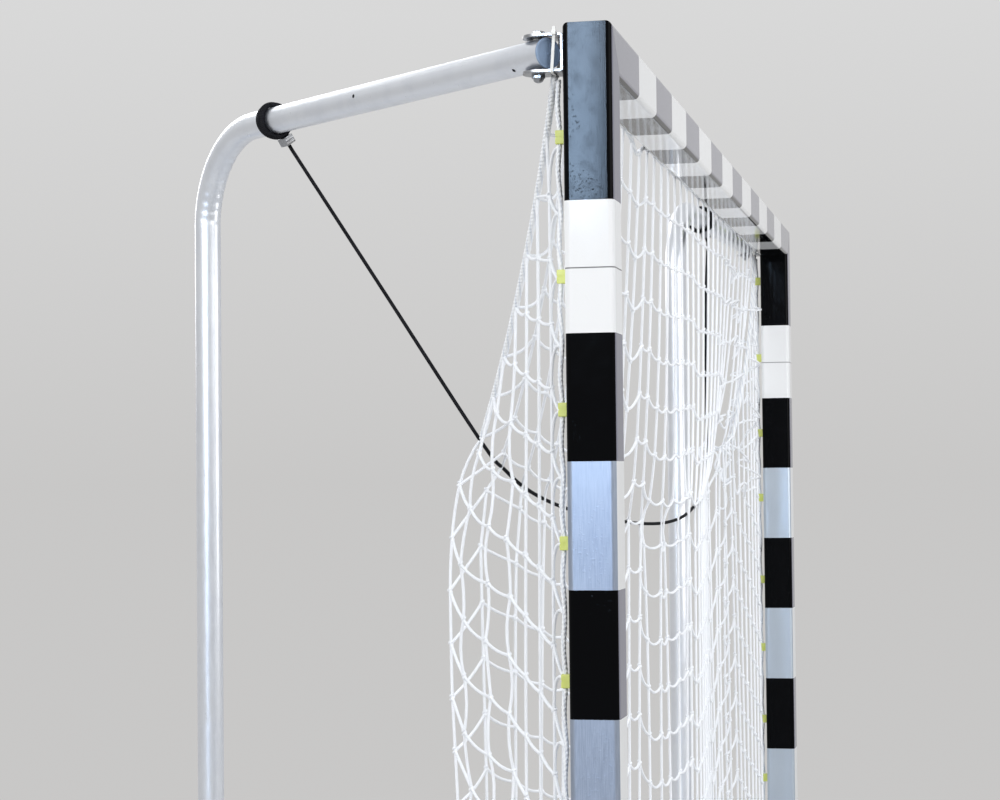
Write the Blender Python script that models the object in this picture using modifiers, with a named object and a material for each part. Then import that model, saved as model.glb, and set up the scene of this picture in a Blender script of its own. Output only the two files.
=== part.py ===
"""Handball goal: a mitred box-section frame, two folding net bows, a sagging elastic cord and a net.

Metres, +Z up. X runs across the goal mouth, +Y points behind the goal, and the floor is at z = 0.
Everything is built in the goal's own lines, with y = 0 in the middle of the posts, and hangs on one
empty that carries the goal to its origin: the middle of its ground plan.
"""

import math

import bmesh
import bpy
from mathutils import Matrix, Vector

# Frame of posts and crossbar
MOUTH_WIDTH = 3.000
MOUTH_HEIGHT = 2.000
SECTION = 0.080
SECTION_WALL = 0.003
SECTION_EDGE_RADIUS = 0.010
HEAD_LENGTH = 0.380
CORNER_LEG = 0.190
CORNER_WALL = 0.006
SPIGOT_LENGTH = 0.300
SPIGOT_WALL = 0.004
SPIGOT_BORE_RADIUS = 0.004
FOOT_FLANGE = 0.005
FOOT_INSERT = 0.035

# Groove for the net clips, along the rear of each bar
GROOVE_MOUTH = 0.008
GROOVE_WIDTH = 0.014
GROOVE_DEPTH = 0.009
GROOVE_LIP = 0.002
GROOVE_WALL = 0.0025
CROSSBAR_GROOVE_RISE = 0.021

# Hinge brackets, bolts and bushes
BRACKET_PLATE = 0.005
BRACKET_WIDTH = 0.050
BRACKET_BEND = 0.006
HINGE_SETBACK = 0.045
BOLT_RADIUS = 0.006
BOLT_HEAD_ACROSS = 0.019
BOLT_HEAD_HEIGHT = 0.007
NUT_HEIGHT = 0.009
NUT_DOME = 0.008
BUSH_WALL = 0.002

# Bows
BOW_RADIUS = 0.025
BOW_WALL = 0.0025
BOW_REACH = 1.040
BOW_BEND = 0.175
BOW_TOP_DROP = 0.043
BOW_LOW_HEIGHT = 0.065
BOW_TAIL = 0.024
PLUG_RIM = 0.003
PLUG_CHAMFER = 0.0013
PLUG_INSERT = 0.012
PLUG_WALL = 0.003
GLIDE_INSET = 0.210
GLIDE_RADIUS = 0.022
GLIDE_CHAMFER = 0.003
FOLD_DEG = {"left": 40.5, "right": 86.5}

# Elastic cord with its loops and clamps
CORD_RADIUS = 0.004
LOOP_STRAND = 0.0042
LOOP_ROUNDING = 0.0041
LOOP_INSET = {"left": 0.250, "right": 0.350}
LOOP_TURN_DEG = {"left": 35.0, "right": 16.0}
CLAMP_LENGTH = 0.016
CLAMP_WIDTH = 0.022
CLAMP_DEPTH = 0.014
CLAMP_EDGE = 0.0018
CORD_LEAD = 0.012

# Net, its edge ropes, clips and ties
ROPE_RADIUS = 0.004
ROPE_STANDOFF = 0.012
CLIP_SPACING = 0.210
CLIP_HEIGHT = 0.022
CLIP_WALL = 0.002
NET_CORD = 0.005
NET_CELL = 0.200
NET_TOP_CELLS = 4
NET_BACK_CELLS = 10
NET_HEM_HEIGHT = 0.105
NET_SEAM = 0.0065
SIDE_NET_DROP = 0.030
TIE_WIDTH = 0.0048
TIE_THICKNESS = 0.0014
TIE_SETBACK = 0.0165

# Clearances
GAP = 0.0003
RUNNING = 0.0003
SIDE_PLAY = 0.001
SLIDE_FIT = 0.0005
CUTTER_SPAN = 0.400

# Facets
ARC_STEPS = 4
TUBE_RESOLUTION = 6
TURN_STEPS = 16
BEND_STEPS = 6
CORD_POINTS = 78
ROUTE_STEPS = 20

# What follows from the sizes above
OUTER_HEIGHT = MOUTH_HEIGHT + SECTION
HALF = SECTION / 2
POST_X = MOUTH_WIDTH / 2 + HALF
HINGE_Y = HALF + HINGE_SETBACK
BOW_TOP = OUTER_HEIGHT - BOW_TOP_DROP
ROPE_Y = HALF + ROPE_STANDOFF
CROSSBAR_ROPE_Z = MOUTH_HEIGHT + ROPE_RADIUS - GAP
TAB_GAP = 2 * (BOW_RADIUS + SIDE_PLAY)
PIN_HOLE = BOLT_RADIUS + RUNNING
BUSH_RADIUS = PIN_HOLE + BUSH_WALL
BACK_REACH = HINGE_Y + BOW_RADIUS + BOW_REACH * max(
    math.cos(math.radians(angle)) for angle in FOLD_DEG.values()
)
GOAL_LINE = Vector((0, -(BACK_REACH - HALF) / 2, 0))
CROSSBAR_GROOVE_SHIFT = HALF - CROSSBAR_GROOVE_RISE
LOOP_INNER = (BOW_RADIUS + GAP) / math.cos(math.pi / TURN_STEPS)
CLAMP_DROP = LOOP_INNER + 2 * LOOP_STRAND + GAP
SIGN = {"left": -1, "right": 1}

# The elastic cord as it hangs between the two clamps, from left to right in the goal's own lines
CORD_ROUTE = (
    (-0.9998, 0.4847, 1.7119),
    (-1.0000, 0.3070, 1.4380),
    (-0.9300, 0.2758, 1.3828),
    (-0.8500, 0.2470, 1.3440),
    (-0.7350, 0.2096, 1.3131),
    (-0.5400, 0.1690, 1.2882),
    (-0.3900, 0.1466, 1.2771),
    (-0.2500, 0.1254, 1.2692),
    (-0.1550, 0.0949, 1.2679),
    (-0.0600, 0.0737, 1.2747),
    (0.0400, 0.0651, 1.2862),
    (0.1400, 0.0629, 1.3006),
    (0.3000, 0.0715, 1.3139),
    (0.5000, 0.0893, 1.3303),
    (0.6800, 0.1056, 1.3531),
    (0.8000, 0.1160, 1.3851),
    (0.8600, 0.1212, 1.4321),
    (0.8750, 0.1230, 1.5157),
    (0.8640, 0.1208, 1.6461),
    (0.8560, 0.1185, 1.8204),
)
RIDGE_START = 0.24
RIDGE_END = 0.79

COLORS = {
    "aluminium": ((0.62, 0.64, 0.67), 0.38, 1.0),
    "banded": ((0.05, 0.05, 0.06), 0.22, 0.2),
    "zinc": ((0.66, 0.67, 0.66), 0.35, 1.0),
    "grey_plastic": ((0.36, 0.41, 0.46), 0.45, 0.0),
    "black_plastic": ((0.03, 0.03, 0.03), 0.5, 0.0),
    "nylon": ((0.86, 0.86, 0.82), 0.5, 0.0),
    "black_cord": ((0.012, 0.012, 0.014), 0.75, 0.0),
    "net_cord": ((0.86, 0.88, 0.90), 0.8, 0.0),
    "edge_rope": ((0.84, 0.86, 0.88), 0.8, 0.0),
}


# Scene, collections and materials


def clear_scene():
    for obj in list(bpy.data.objects):
        bpy.data.objects.remove(obj)


def new_collection(name):
    collection = bpy.data.collections.new(name)
    bpy.context.scene.collection.children.link(collection)
    return collection


def make_material(name):
    color, roughness, metallic = COLORS[name]
    material = bpy.data.materials.new(name)
    material.use_nodes = True
    shader = material.node_tree.nodes["Principled BSDF"]
    shader.inputs["Base Color"].default_value = (*color, 1)
    shader.inputs["Roughness"].default_value = roughness
    shader.inputs["Metallic"].default_value = metallic
    return material


class Shop:
    """The collections, materials and empties that every piece is put on."""

    def __init__(self):
        self.parts = new_collection("handball_goal")
        self.cutters = new_collection("cutters")
        self.materials = {name: make_material(name) for name in COLORS}
        self.goal = self.empty("goal_line", GOAL_LINE)

    def empty(self, name, place, turn=(0, 0, 0), parent=None):
        obj = bpy.data.objects.new(name, None)
        self.parts.objects.link(obj)
        obj.location = place
        obj.rotation_euler = turn
        obj.parent = parent
        return obj

    def add(self, name, data, finish=None, parent=None, place=(0, 0, 0), turn=(0, 0, 0)):
        obj = bpy.data.objects.new(name, data)
        (self.parts if finish else self.cutters).objects.link(obj)
        obj.location = place
        obj.rotation_euler = turn
        obj.parent = parent or self.goal
        if finish:
            data.materials.append(self.materials[finish])
        else:
            obj.hide_render = True
            obj.display_type = "WIRE"
        return obj


def boolean(obj, other, operation):
    modifier = obj.modifiers.new(f"{operation.lower()}_{other.name}", "BOOLEAN")
    modifier.operation = operation
    modifier.object = other


def smooth(mesh, angle_deg=35):
    mesh.shade_smooth()
    mesh.set_sharp_from_angle(angle=math.radians(angle_deg))
    return mesh


# Outlines in the XY plane


def arc(center, radius, start_deg, end_deg, steps=ARC_STEPS):
    angles = [start_deg + (end_deg - start_deg) * i / steps for i in range(steps + 1)]
    return [
        (
            center[0] + radius * math.cos(math.radians(angle)),
            center[1] + radius * math.sin(math.radians(angle)),
        )
        for angle in angles
    ]


def rounded_box(low, high, radius, steps=ARC_STEPS):
    """An anticlockwise box outline with round corners, from its lower left to its upper right."""
    (x0, y0), (x1, y1) = low, high
    return (
        arc((x1 - radius, y0 + radius), radius, -90, 0, steps)
        + arc((x1 - radius, y1 - radius), radius, 0, 90, steps)
        + arc((x0 + radius, y1 - radius), radius, 90, 180, steps)
        + arc((x0 + radius, y0 + radius), radius, 180, 270, steps)
    )


def with_rear_notch(outline, notch):
    """Lets a notch into the outline's rear side: between its second and third rounded corner."""
    cut = 2 * (ARC_STEPS + 1)
    return outline[:cut] + notch + outline[cut:]


def bar_outline(groove_x=0.0):
    lip_y = HALF - GROOVE_LIP
    floor_y = HALF - GROOVE_DEPTH
    steps = (
        (GROOVE_MOUTH / 2, HALF),
        (GROOVE_MOUTH / 2, lip_y),
        (GROOVE_WIDTH / 2, lip_y),
        (GROOVE_WIDTH / 2, floor_y),
    )
    notch = [(groove_x + x, y) for x, y in steps]
    notch += [(groove_x - x, y) for x, y in reversed(steps)]
    box = rounded_box((-HALF, -HALF), (HALF, HALF), SECTION_EDGE_RADIUS)
    return with_rear_notch(box, notch)


def cavity_outline(groove_x=0.0, inset=0.0):
    """The bar's inside, or with an inset what slides into it."""
    reach = HALF - SECTION_WALL - inset
    floor_y = HALF - GROOVE_DEPTH - GROOVE_WALL - inset
    side = GROOVE_WIDTH / 2 + GROOVE_WALL + inset
    notch = [
        (groove_x + side, reach),
        (groove_x + side, floor_y),
        (groove_x - side, floor_y),
        (groove_x - side, reach),
    ]
    radius = SECTION_EDGE_RADIUS - SECTION_WALL
    return with_rear_notch(rounded_box((-reach, -reach), (reach, reach), radius), notch)


# Meshes from Blender's tools


def curve_mesh(shop, curve):
    """The curve's evaluated mesh with its caps welded on."""
    holder = bpy.data.objects.new("curve", curve)
    shop.cutters.objects.link(holder)
    evaluated = holder.evaluated_get(bpy.context.evaluated_depsgraph_get())
    mesh = bpy.data.meshes.new_from_object(evaluated)
    bpy.data.objects.remove(holder)
    grid = bmesh.new()
    grid.from_mesh(mesh)
    bmesh.ops.remove_doubles(grid, verts=grid.verts, dist=1e-6)
    grid.to_mesh(mesh)
    grid.free()
    mesh.materials.clear()
    return mesh


def extruded(shop, outlines, length):
    """The outlines, the first one solid and any other a hole, extruded along Z about z = 0."""
    curve = bpy.data.curves.new("outline", "CURVE")
    curve.dimensions = "2D"
    curve.fill_mode = "BOTH"
    curve.extrude = length / 2
    for outline in outlines:
        spline = curve.splines.new("POLY")
        spline.points.add(len(outline) - 1)
        spline.use_cyclic_u = True
        for point, (x, y) in zip(spline.points, outline):
            point.co = (x, y, 0, 1)
    return smooth(curve_mesh(shop, curve))


def swept(shop, points, radius, resolution, capped=True):
    """A round tube along the points."""
    curve = bpy.data.curves.new("route", "CURVE")
    curve.dimensions = "3D"
    curve.bevel_depth = radius
    curve.bevel_resolution = resolution
    curve.use_fill_caps = capped
    spline = curve.splines.new("POLY")
    spline.points.add(len(points) - 1)
    for point, place in zip(spline.points, points):
        point.co = (*place, 1)
    return smooth(curve_mesh(shop, curve), 50)


def cylinder(radius, length, segments=TURN_STEPS, axis="Z"):
    mesh = bpy.data.meshes.new("cylinder")
    grid = bmesh.new()
    bmesh.ops.create_cone(
        grid, cap_ends=True, segments=segments, radius1=radius, radius2=radius, depth=length
    )
    turns = {"Z": Matrix(), "Y": Matrix.Rotation(math.pi / 2, 4, "X")}
    turns["X"] = Matrix.Rotation(math.pi / 2, 4, "Y")
    bmesh.ops.transform(grid, matrix=turns[axis], verts=grid.verts)
    grid.to_mesh(mesh)
    grid.free()
    return smooth(mesh)


def block(size):
    mesh = bpy.data.meshes.new("block")
    grid = bmesh.new()
    bmesh.ops.create_cube(grid, size=1)
    bmesh.ops.scale(grid, vec=size, verts=grid.verts)
    grid.to_mesh(mesh)
    grid.free()
    return mesh


def turned(shop, name, profile, finish, closed=False, **where):
    """A profile of (radius, height) points, turned about the object's own Z."""
    mesh = bpy.data.meshes.new(name)
    pairs = [(i, i + 1) for i in range(len(profile) - 1)]
    if closed:
        pairs.append((len(profile) - 1, 0))
    mesh.from_pydata([(radius, 0, height) for radius, height in profile], pairs, [])
    obj = shop.add(name, mesh, finish, **where)
    screw = obj.modifiers.new("turn", "SCREW")
    screw.steps = TURN_STEPS
    screw.render_steps = TURN_STEPS
    screw.use_merge_vertices = True
    screw.merge_threshold = 1e-5
    return obj


# Frame


def mitre_cutter(shop, name, side, keeps_post):
    """A cube whose one face lies on the corner's mitre plane, on the side to be cut away."""
    outward = Vector((SIGN[side], 0, -1)).normalized() * (-1 if keeps_post else 1)
    middle = Vector((SIGN[side] * POST_X, 0, MOUTH_HEIGHT + HALF))
    place = middle + outward * (CUTTER_SPAN / 2 - GAP / 2)
    turn = (0, math.radians(45), 0)
    return shop.add(name, block((CUTTER_SPAN,) * 3), place=place, turn=turn)


def make_crossbar(shop):
    outlines = [bar_outline(CROSSBAR_GROOVE_SHIFT), cavity_outline(CROSSBAR_GROOVE_SHIFT)]
    mesh = extruded(shop, outlines, MOUTH_WIDTH + 2 * SECTION)
    place = (0, 0, MOUTH_HEIGHT + HALF)
    bar = shop.add("crossbar", mesh, "banded", place=place, turn=(0, math.radians(90), 0))
    for side in SIGN:
        boolean(bar, mitre_cutter(shop, f"{side}_crossbar_mitre", side, False), "DIFFERENCE")


def make_side_frame(shop, side):
    x = SIGN[side] * POST_X
    joint = OUTER_HEIGHT - HEAD_LENGTH
    outlines = [bar_outline(), cavity_outline()]

    head = extruded(shop, outlines, HEAD_LENGTH)
    place = (x, 0, OUTER_HEIGHT - HEAD_LENGTH / 2)
    head = shop.add(f"{side}_post_head", head, "banded", place=place)
    boolean(head, mitre_cutter(shop, f"{side}_head_mitre", side, True), "DIFFERENCE")

    bottom = FOOT_FLANGE + GAP
    length = joint - GAP - bottom
    mesh = extruded(shop, outlines, length)
    shop.add(f"{side}_post", mesh, "banded", place=(x, 0, bottom + length / 2))

    sleeve = cavity_outline(inset=SLIDE_FIT)
    reach = HALF - SECTION_WALL - SLIDE_FIT - SPIGOT_WALL
    rear = HALF - GROOVE_DEPTH - GROOVE_WALL - SLIDE_FIT - SPIGOT_WALL
    bore = rounded_box((-reach, -reach), (reach, rear), SPIGOT_BORE_RADIUS)
    mesh = extruded(shop, [sleeve, bore], SPIGOT_LENGTH)
    shop.add(f"{side}_post_spigot", mesh, "aluminium", place=(x, 0, joint))

    insert = extruded(shop, [sleeve], FOOT_INSERT)
    flange = extruded(
        shop, [rounded_box((-HALF, -HALF), (HALF, HALF), SECTION_EDGE_RADIUS)], FOOT_FLANGE
    )
    foot = shop.add(f"{side}_foot_plug", flange, "black_plastic", place=(x, 0, FOOT_FLANGE / 2))
    place = (x, 0, FOOT_FLANGE / 2 + FOOT_INSERT / 2)
    boolean(foot, shop.add(f"{side}_foot_insert", insert, place=place), "UNION")

    make_corner_angle(shop, side)


def ell_outline(half_width, reach):
    """An L about the corner's middle, one leg down and one to the right."""
    w = half_width
    return [(-w, w), (-w, -reach), (w, -reach), (w, -w), (reach, -w), (reach, w)]


def make_corner_angle(shop, side):
    """The cast angle inside the mitred corner, clear of both grooves."""
    outer = HALF - SECTION_WALL - SLIDE_FIT
    reach = CORNER_LEG - HALF
    front = SECTION_EDGE_RADIUS - HALF
    rear = HALF - GROOVE_DEPTH - GROOVE_WALL - SLIDE_FIT
    outlines = [ell_outline(outer, reach), ell_outline(outer - CORNER_WALL, reach - CORNER_WALL)]
    mesh = extruded(shop, outlines, rear - front)
    mirror = 1 if side == "left" else -1
    grid = bmesh.new()
    grid.from_mesh(mesh)
    bmesh.ops.transform(grid, matrix=Matrix.Rotation(math.pi / 2, 4, "X"), verts=grid.verts)
    if mirror < 0:
        bmesh.ops.scale(grid, vec=(mirror, 1, 1), verts=grid.verts)
        bmesh.ops.reverse_faces(grid, faces=grid.faces)
    grid.to_mesh(mesh)
    grid.free()
    place = (SIGN[side] * POST_X, (front + rear) / 2, MOUTH_HEIGHT + HALF)
    shop.add(f"{side}_corner_angle", mesh, "aluminium", place=place)


# Hinges


def bracket_profile():
    """The bent plate's side view: a channel open towards the bow, in (distance from post, height)."""
    outer = TAB_GAP / 2 + BRACKET_PLATE
    inner = TAB_GAP / 2
    length = HINGE_SETBACK - GAP + BRACKET_WIDTH / 2
    bend = BRACKET_BEND
    fold = bend - BRACKET_PLATE
    return (
        [(length, -outer), (length, -inner)]
        + arc((BRACKET_PLATE + fold, -inner + fold), fold, 270, 180)
        + arc((BRACKET_PLATE + fold, inner - fold), fold, 180, 90)
        + [(length, inner), (length, outer)]
        + arc((bend, outer - bend), bend, 90, 180)
        + arc((bend, bend - outer), bend, 180, 270)
    )


def make_hinge(shop, side, level, height):
    """One clevis bracket with its bolt and dome nut, round the bow's end at this height."""
    x = SIGN[side] * POST_X
    name = f"{side}_{level}"
    mesh = extruded(shop, [bracket_profile()], BRACKET_WIDTH)
    axes = Matrix(((0, 0, 1, 0), (1, 0, 0, 0), (0, 1, 0, 0), (0, 0, 0, 1)))
    mesh.transform(axes)
    bracket = shop.add(f"{name}_bracket", mesh, "zinc", place=(x, HALF + GAP, height))

    half = BRACKET_WIDTH / 2
    span = CUTTER_SPAN / 2
    nose = [(-half, -span), (half, -span)] + arc((0, 0), half, 0, 180, 3 * ARC_STEPS)
    mesh = extruded(shop, [nose], span)
    round_end = shop.add(f"{name}_round_end", mesh, place=(x, HINGE_Y, height))
    boolean(bracket, round_end, "INTERSECT")
    hole = shop.add(f"{name}_pin_hole", cylinder(PIN_HOLE, span), place=(x, HINGE_Y, height))
    boolean(bracket, hole, "DIFFERENCE")

    face = TAB_GAP / 2 + BRACKET_PLATE
    shank = 2 * face + NUT_HEIGHT + GAP
    place = (x, HINGE_Y, height + face + GAP - shank / 2)
    bolt = shop.add(f"{name}_bolt", cylinder(BOLT_RADIUS, shank), "zinc", place=place)
    corner = BOLT_HEAD_ACROSS / math.sqrt(3)
    place = (x, HINGE_Y, height + face + GAP + BOLT_HEAD_HEIGHT / 2 - GAP / 2)
    head = cylinder(corner, BOLT_HEAD_HEIGHT + GAP, 6)
    boolean(bolt, shop.add(f"{name}_bolt_head", head, place=place), "UNION")

    top = height - face - GAP
    place = (x, HINGE_Y, top - NUT_HEIGHT / 2)
    nut = shop.add(f"{name}_nut", cylinder(corner, NUT_HEIGHT, 6), "zinc", place=place)
    width = BOLT_HEAD_ACROSS / 2
    dome = [(0, NUT_HEIGHT / 2), (width, NUT_HEIGHT / 2)]
    dome += [(radius, -rise * NUT_DOME / width) for radius, rise in arc((0, 0), width, 0, 90)]
    place = (x, HINGE_Y, top - NUT_HEIGHT)
    boolean(nut, turned(shop, f"{name}_nut_dome", dome, None, place=place), "UNION")
    bore = cylinder(PIN_HOLE, 2 * (NUT_HEIGHT + RUNNING))
    boolean(nut, shop.add(f"{name}_nut_bore", bore, place=(x, HINGE_Y, top)), "DIFFERENCE")


# Bows, each in its own lines: the hinge axis is Z, and the arms run along +Y


def bow_path():
    low, high = BOW_LOW_HEIGHT, BOW_TOP
    upper = arc((BOW_REACH - BOW_BEND, high - BOW_BEND), BOW_BEND, 90, 0, BEND_STEPS)
    lower = arc((BOW_REACH - BOW_BEND, low + BOW_BEND), BOW_BEND, 0, -90, BEND_STEPS)
    return [(0, y, z) for y, z in [(-BOW_TAIL, high)] + upper + lower + [(-BOW_TAIL, low)]]


def bow_fold(side):
    return SIGN[side] * math.radians(FOLD_DEG[side])


def loop_turn(side):
    return SIGN[side] * math.radians(LOOP_TURN_DEG[side])


def make_bow(shop, side):
    place = (SIGN[side] * POST_X, HINGE_Y, 0)
    hinge = shop.empty(f"{side}_bow_hinge", place, (0, 0, bow_fold(side)), shop.goal)

    mesh = swept(shop, bow_path(), BOW_RADIUS, TUBE_RESOLUTION, capped=False)
    tube = shop.add(f"{side}_bow_tube", mesh, "aluminium", hinge)
    wall = tube.modifiers.new("wall", "SOLIDIFY")
    wall.thickness = BOW_WALL
    wall.offset = -1
    wall.use_even_offset = True

    for level, height in (("upper", BOW_TOP), ("lower", BOW_LOW_HEIGHT)):
        place = (0, 0, height)
        hole = cylinder(BUSH_RADIUS + GAP, 3 * BOW_RADIUS)
        boolean(tube, shop.add(f"{side}_{level}_bush_hole", hole, None, hinge, place), "DIFFERENCE")
        make_bush(shop, f"{side}_{level}_bush", hinge, height)
        make_end_plug(shop, f"{side}_{level}_tube_plug", hinge, height)

    make_glide(shop, side, hinge)
    make_loop(shop, side, hinge)


def make_bush(shop, name, hinge, height):
    half = BOW_RADIUS + SIDE_PLAY / 2
    profile = [(PIN_HOLE, half), (BUSH_RADIUS, half), (BUSH_RADIUS, -half), (PIN_HOLE, -half)]
    turned(shop, name, profile, "nylon", closed=True, parent=hinge, place=(0, 0, height))


def make_end_plug(shop, name, hinge, height):
    """A thin-rimmed cup that closes the tube's end: its rim shows, its skirt sits in the bore."""
    skirt = BOW_RADIUS - BOW_WALL - SLIDE_FIT
    bore = skirt - PLUG_WALL
    profile = [
        (0, -PLUG_WALL),
        (bore, -PLUG_WALL),
        (bore, -PLUG_INSERT),
        (skirt, -PLUG_INSERT),
        (skirt, GAP),
        (BOW_RADIUS, GAP),
        (BOW_RADIUS, PLUG_RIM - PLUG_CHAMFER),
        (BOW_RADIUS - PLUG_CHAMFER, PLUG_RIM),
        (0, PLUG_RIM),
    ]
    place = (0, -BOW_TAIL, height)
    turn = (math.radians(90), 0, 0)
    turned(shop, name, profile[::-1], "grey_plastic", parent=hinge, place=place, turn=turn)


def make_glide(shop, side, hinge):
    """The foot that carries the bow's rear corner on the floor, saddled under the lower arm."""
    y = BOW_REACH - GLIDE_INSET
    height = BOW_LOW_HEIGHT
    profile = [
        (0, height),
        (GLIDE_RADIUS, height),
        (GLIDE_RADIUS, GLIDE_CHAMFER),
        (GLIDE_RADIUS - GLIDE_CHAMFER, 0),
        (0, 0),
    ]
    foot = turned(shop, f"{side}_bow_glide", profile, "black_plastic", parent=hinge, place=(0, y, 0))
    saddle = cylinder(BOW_RADIUS + GAP, 4 * GLIDE_RADIUS, 4 + 2 * TUBE_RESOLUTION, axis="Y")
    place = (0, y, height)
    boolean(foot, shop.add(f"{side}_glide_saddle", saddle, None, hinge, place), "DIFFERENCE")


def make_loop(shop, side, hinge):
    """The doubled strand round the upper arm, and under it the clamp that holds the cord."""
    turn = (0, loop_turn(side), 0)
    seat = shop.empty(f"{side}_loop_seat", (0, BOW_REACH - LOOP_INSET[side], BOW_TOP), turn, hinge)
    low, high = (LOOP_INNER, -2 * LOOP_STRAND), (LOOP_INNER + 2 * LOOP_STRAND, 2 * LOOP_STRAND)
    profile = rounded_box(low, high, LOOP_ROUNDING, 3)
    around = (math.radians(90), 0, 0)
    turned(shop, f"{side}_cord_loop", profile[::-1], "black_cord", True, parent=seat, turn=around)

    size = (CLAMP_WIDTH, CLAMP_DEPTH, CLAMP_LENGTH)
    place = (0, 0, -CLAMP_DROP - CLAMP_LENGTH / 2)
    clamp = shop.add(f"{side}_cord_clamp", block(size), "zinc", seat, place)
    bevel = clamp.modifiers.new("edges", "BEVEL")
    bevel.width = CLAMP_EDGE
    bevel.segments = 2


# Cord and net


def below_clamp(side, distance):
    """The point on the clamp's axis this far below its lower face, in the goal's own lines."""
    hinge = Matrix.Translation((SIGN[side] * POST_X, HINGE_Y, 0))
    hinge = hinge @ Matrix.Rotation(bow_fold(side), 4, "Z")
    seat = Matrix.Translation((0, BOW_REACH - LOOP_INSET[side], BOW_TOP))
    seat = seat @ Matrix.Rotation(loop_turn(side), 4, "Y")
    return hinge @ seat @ Vector((0, 0, -CLAMP_DROP - CLAMP_LENGTH - distance))


def smooth_route(points, count):
    """Points at even steps along a Catmull-Rom curve through the route."""
    fine = []
    ends = [2 * points[0] - points[1], *points, 2 * points[-1] - points[-2]]
    for a, b, c, d in zip(ends, ends[1:], ends[2:], ends[3:]):
        for i in range(ROUTE_STEPS):
            t = i / ROUTE_STEPS
            square = (2 * a - 5 * b + 4 * c - d) * t**2
            cube = (3 * b - a - 3 * c + d) * t**3
            fine.append((2 * b + (c - a) * t + square + cube) / 2)
    fine.append(points[-1])
    return even_steps(fine, count)


def even_steps(points, count):
    lengths = [0.0]
    for a, b in zip(points, points[1:]):
        lengths.append(lengths[-1] + (b - a).length)
    result = []
    k = 0
    for i in range(count):
        target = lengths[-1] * i / (count - 1)
        while k < len(points) - 2 and lengths[k + 1] < target:
            k += 1
        share = (target - lengths[k]) / (lengths[k + 1] - lengths[k])
        result.append(points[k].lerp(points[k + 1], min(share, 1)))
    return result


def make_cord(shop):
    ends = [below_clamp(side, CORD_LEAD) for side in SIGN]
    free = [ends[0], *(Vector(point) for point in CORD_ROUTE), ends[1]]
    route = smooth_route(free, CORD_POINTS - 2)
    route = [below_clamp("left", GAP), *route, below_clamp("right", GAP)]
    shop.add("elastic_cord", swept(shop, route, CORD_RADIUS, 2), "black_cord")
    return route


def grid_mesh(name, rows):
    """A net of square cords: a wired grid through the rows of points."""
    mesh = bpy.data.meshes.new(name)
    grid = bmesh.new()
    lines = [[grid.verts.new(point) for point in row] for row in rows]
    for upper, lower in zip(lines, lines[1:]):
        for a, b, c, d in zip(upper, upper[1:], lower[1:], lower):
            grid.faces.new((a, b, c, d))
    bmesh.ops.recalc_face_normals(grid, faces=grid.faces)
    grid.to_mesh(mesh)
    grid.free()
    return mesh


def add_net(shop, name, rows):
    obj = shop.add(name, grid_mesh(name, rows), "net_cord")
    wire = obj.modifiers.new("cords", "WIREFRAME")
    wire.thickness = NET_CORD
    wire.use_even_offset = False
    wire.use_boundary = True
    return obj


def before(line, i):
    """The level way towards the mouth from a line that runs left to right, at its point i."""
    tangent = line[min(i + 1, len(line) - 1)] - line[max(i - 1, 0)]
    return Vector((tangent.y, -tangent.x, 0)).normalized()


def make_net(shop, route):
    """The main panel hangs from the crossbar over the cord, and the sides close it to the posts."""
    columns = round(MOUTH_WIDTH / NET_CELL)
    start, end = (round(share * (len(route) - 1)) for share in (RIDGE_START, RIDGE_END))
    along = even_steps(route[start : end + 1], columns + 1)
    stand = CORD_RADIUS + NET_CORD + SIDE_PLAY
    ridge = [point + before(along, i) * stand for i, point in enumerate(along)]
    edge = MOUTH_WIDTH / 2 - ROPE_RADIUS - NET_CORD
    head_z = CROSSBAR_ROPE_Z - ROPE_RADIUS - CLIP_WALL - NET_CORD / 2 - GAP
    head = [
        Vector((edge * (2 * i / columns - 1), ROPE_Y, head_z)) for i in range(columns + 1)
    ]
    hem = [Vector((point.x, point.y, NET_HEM_HEIGHT)) for point in ridge]
    steps = [j / NET_TOP_CELLS for j in range(NET_TOP_CELLS)]
    rows = [[a.lerp(b, share) for a, b in zip(head, ridge)] for share in steps]
    steps = [j / NET_BACK_CELLS for j in range(NET_BACK_CELLS + 1)]
    rows += [[a.lerp(b, share) for a, b in zip(ridge, hem)] for share in steps]
    add_net(shop, "net_main", rows)
    for side in SIGN:
        rear_line = [row[0 if side == "left" else -1] for row in rows[NET_TOP_CELLS:]]
        make_side_net(shop, side, rear_line, NET_TOP_CELLS)


def make_side_net(shop, side, rear_line, columns):
    front_top = MOUTH_HEIGHT - HINGE_SETBACK
    count = len(rear_line)
    hold = ROPE_Y + ROPE_RADIUS + NET_CORD / 2 + GAP
    rows = []
    for j, rear in enumerate(rear_line):
        share = j / (count - 1)
        z = front_top + (NET_HEM_HEIGHT + 2 * NET_CORD - front_top) * share
        front = Vector((SIGN[side] * POST_X, hold, z))
        seam = rear + Vector((SIGN[side] * NET_SEAM, 0, -SIDE_NET_DROP * (1 - share)))
        rows.append([front.lerp(seam, i / columns) for i in range(columns + 1)])
    add_net(shop, f"{side}_net", rows)


def make_edge_rope(shop, name, start, end, groove, turn):
    """An edge rope with its clips: each clip is a band round the rope on a foot in the groove."""
    rope = shop.add(name, swept(shop, [start, end], ROPE_RADIUS, 2), "edge_rope")
    span = end - start
    count = int(span.length / CLIP_SPACING)
    margin = (span.length - (count - 1) * CLIP_SPACING) / 2
    out = groove - start
    out -= span.normalized() * out.dot(span.normalized())
    for i in range(count):
        center = start + span.normalized() * (margin + i * CLIP_SPACING)
        clip_band(shop, f"{name}_clip_{i}", rope, center, center + out, turn)


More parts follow.
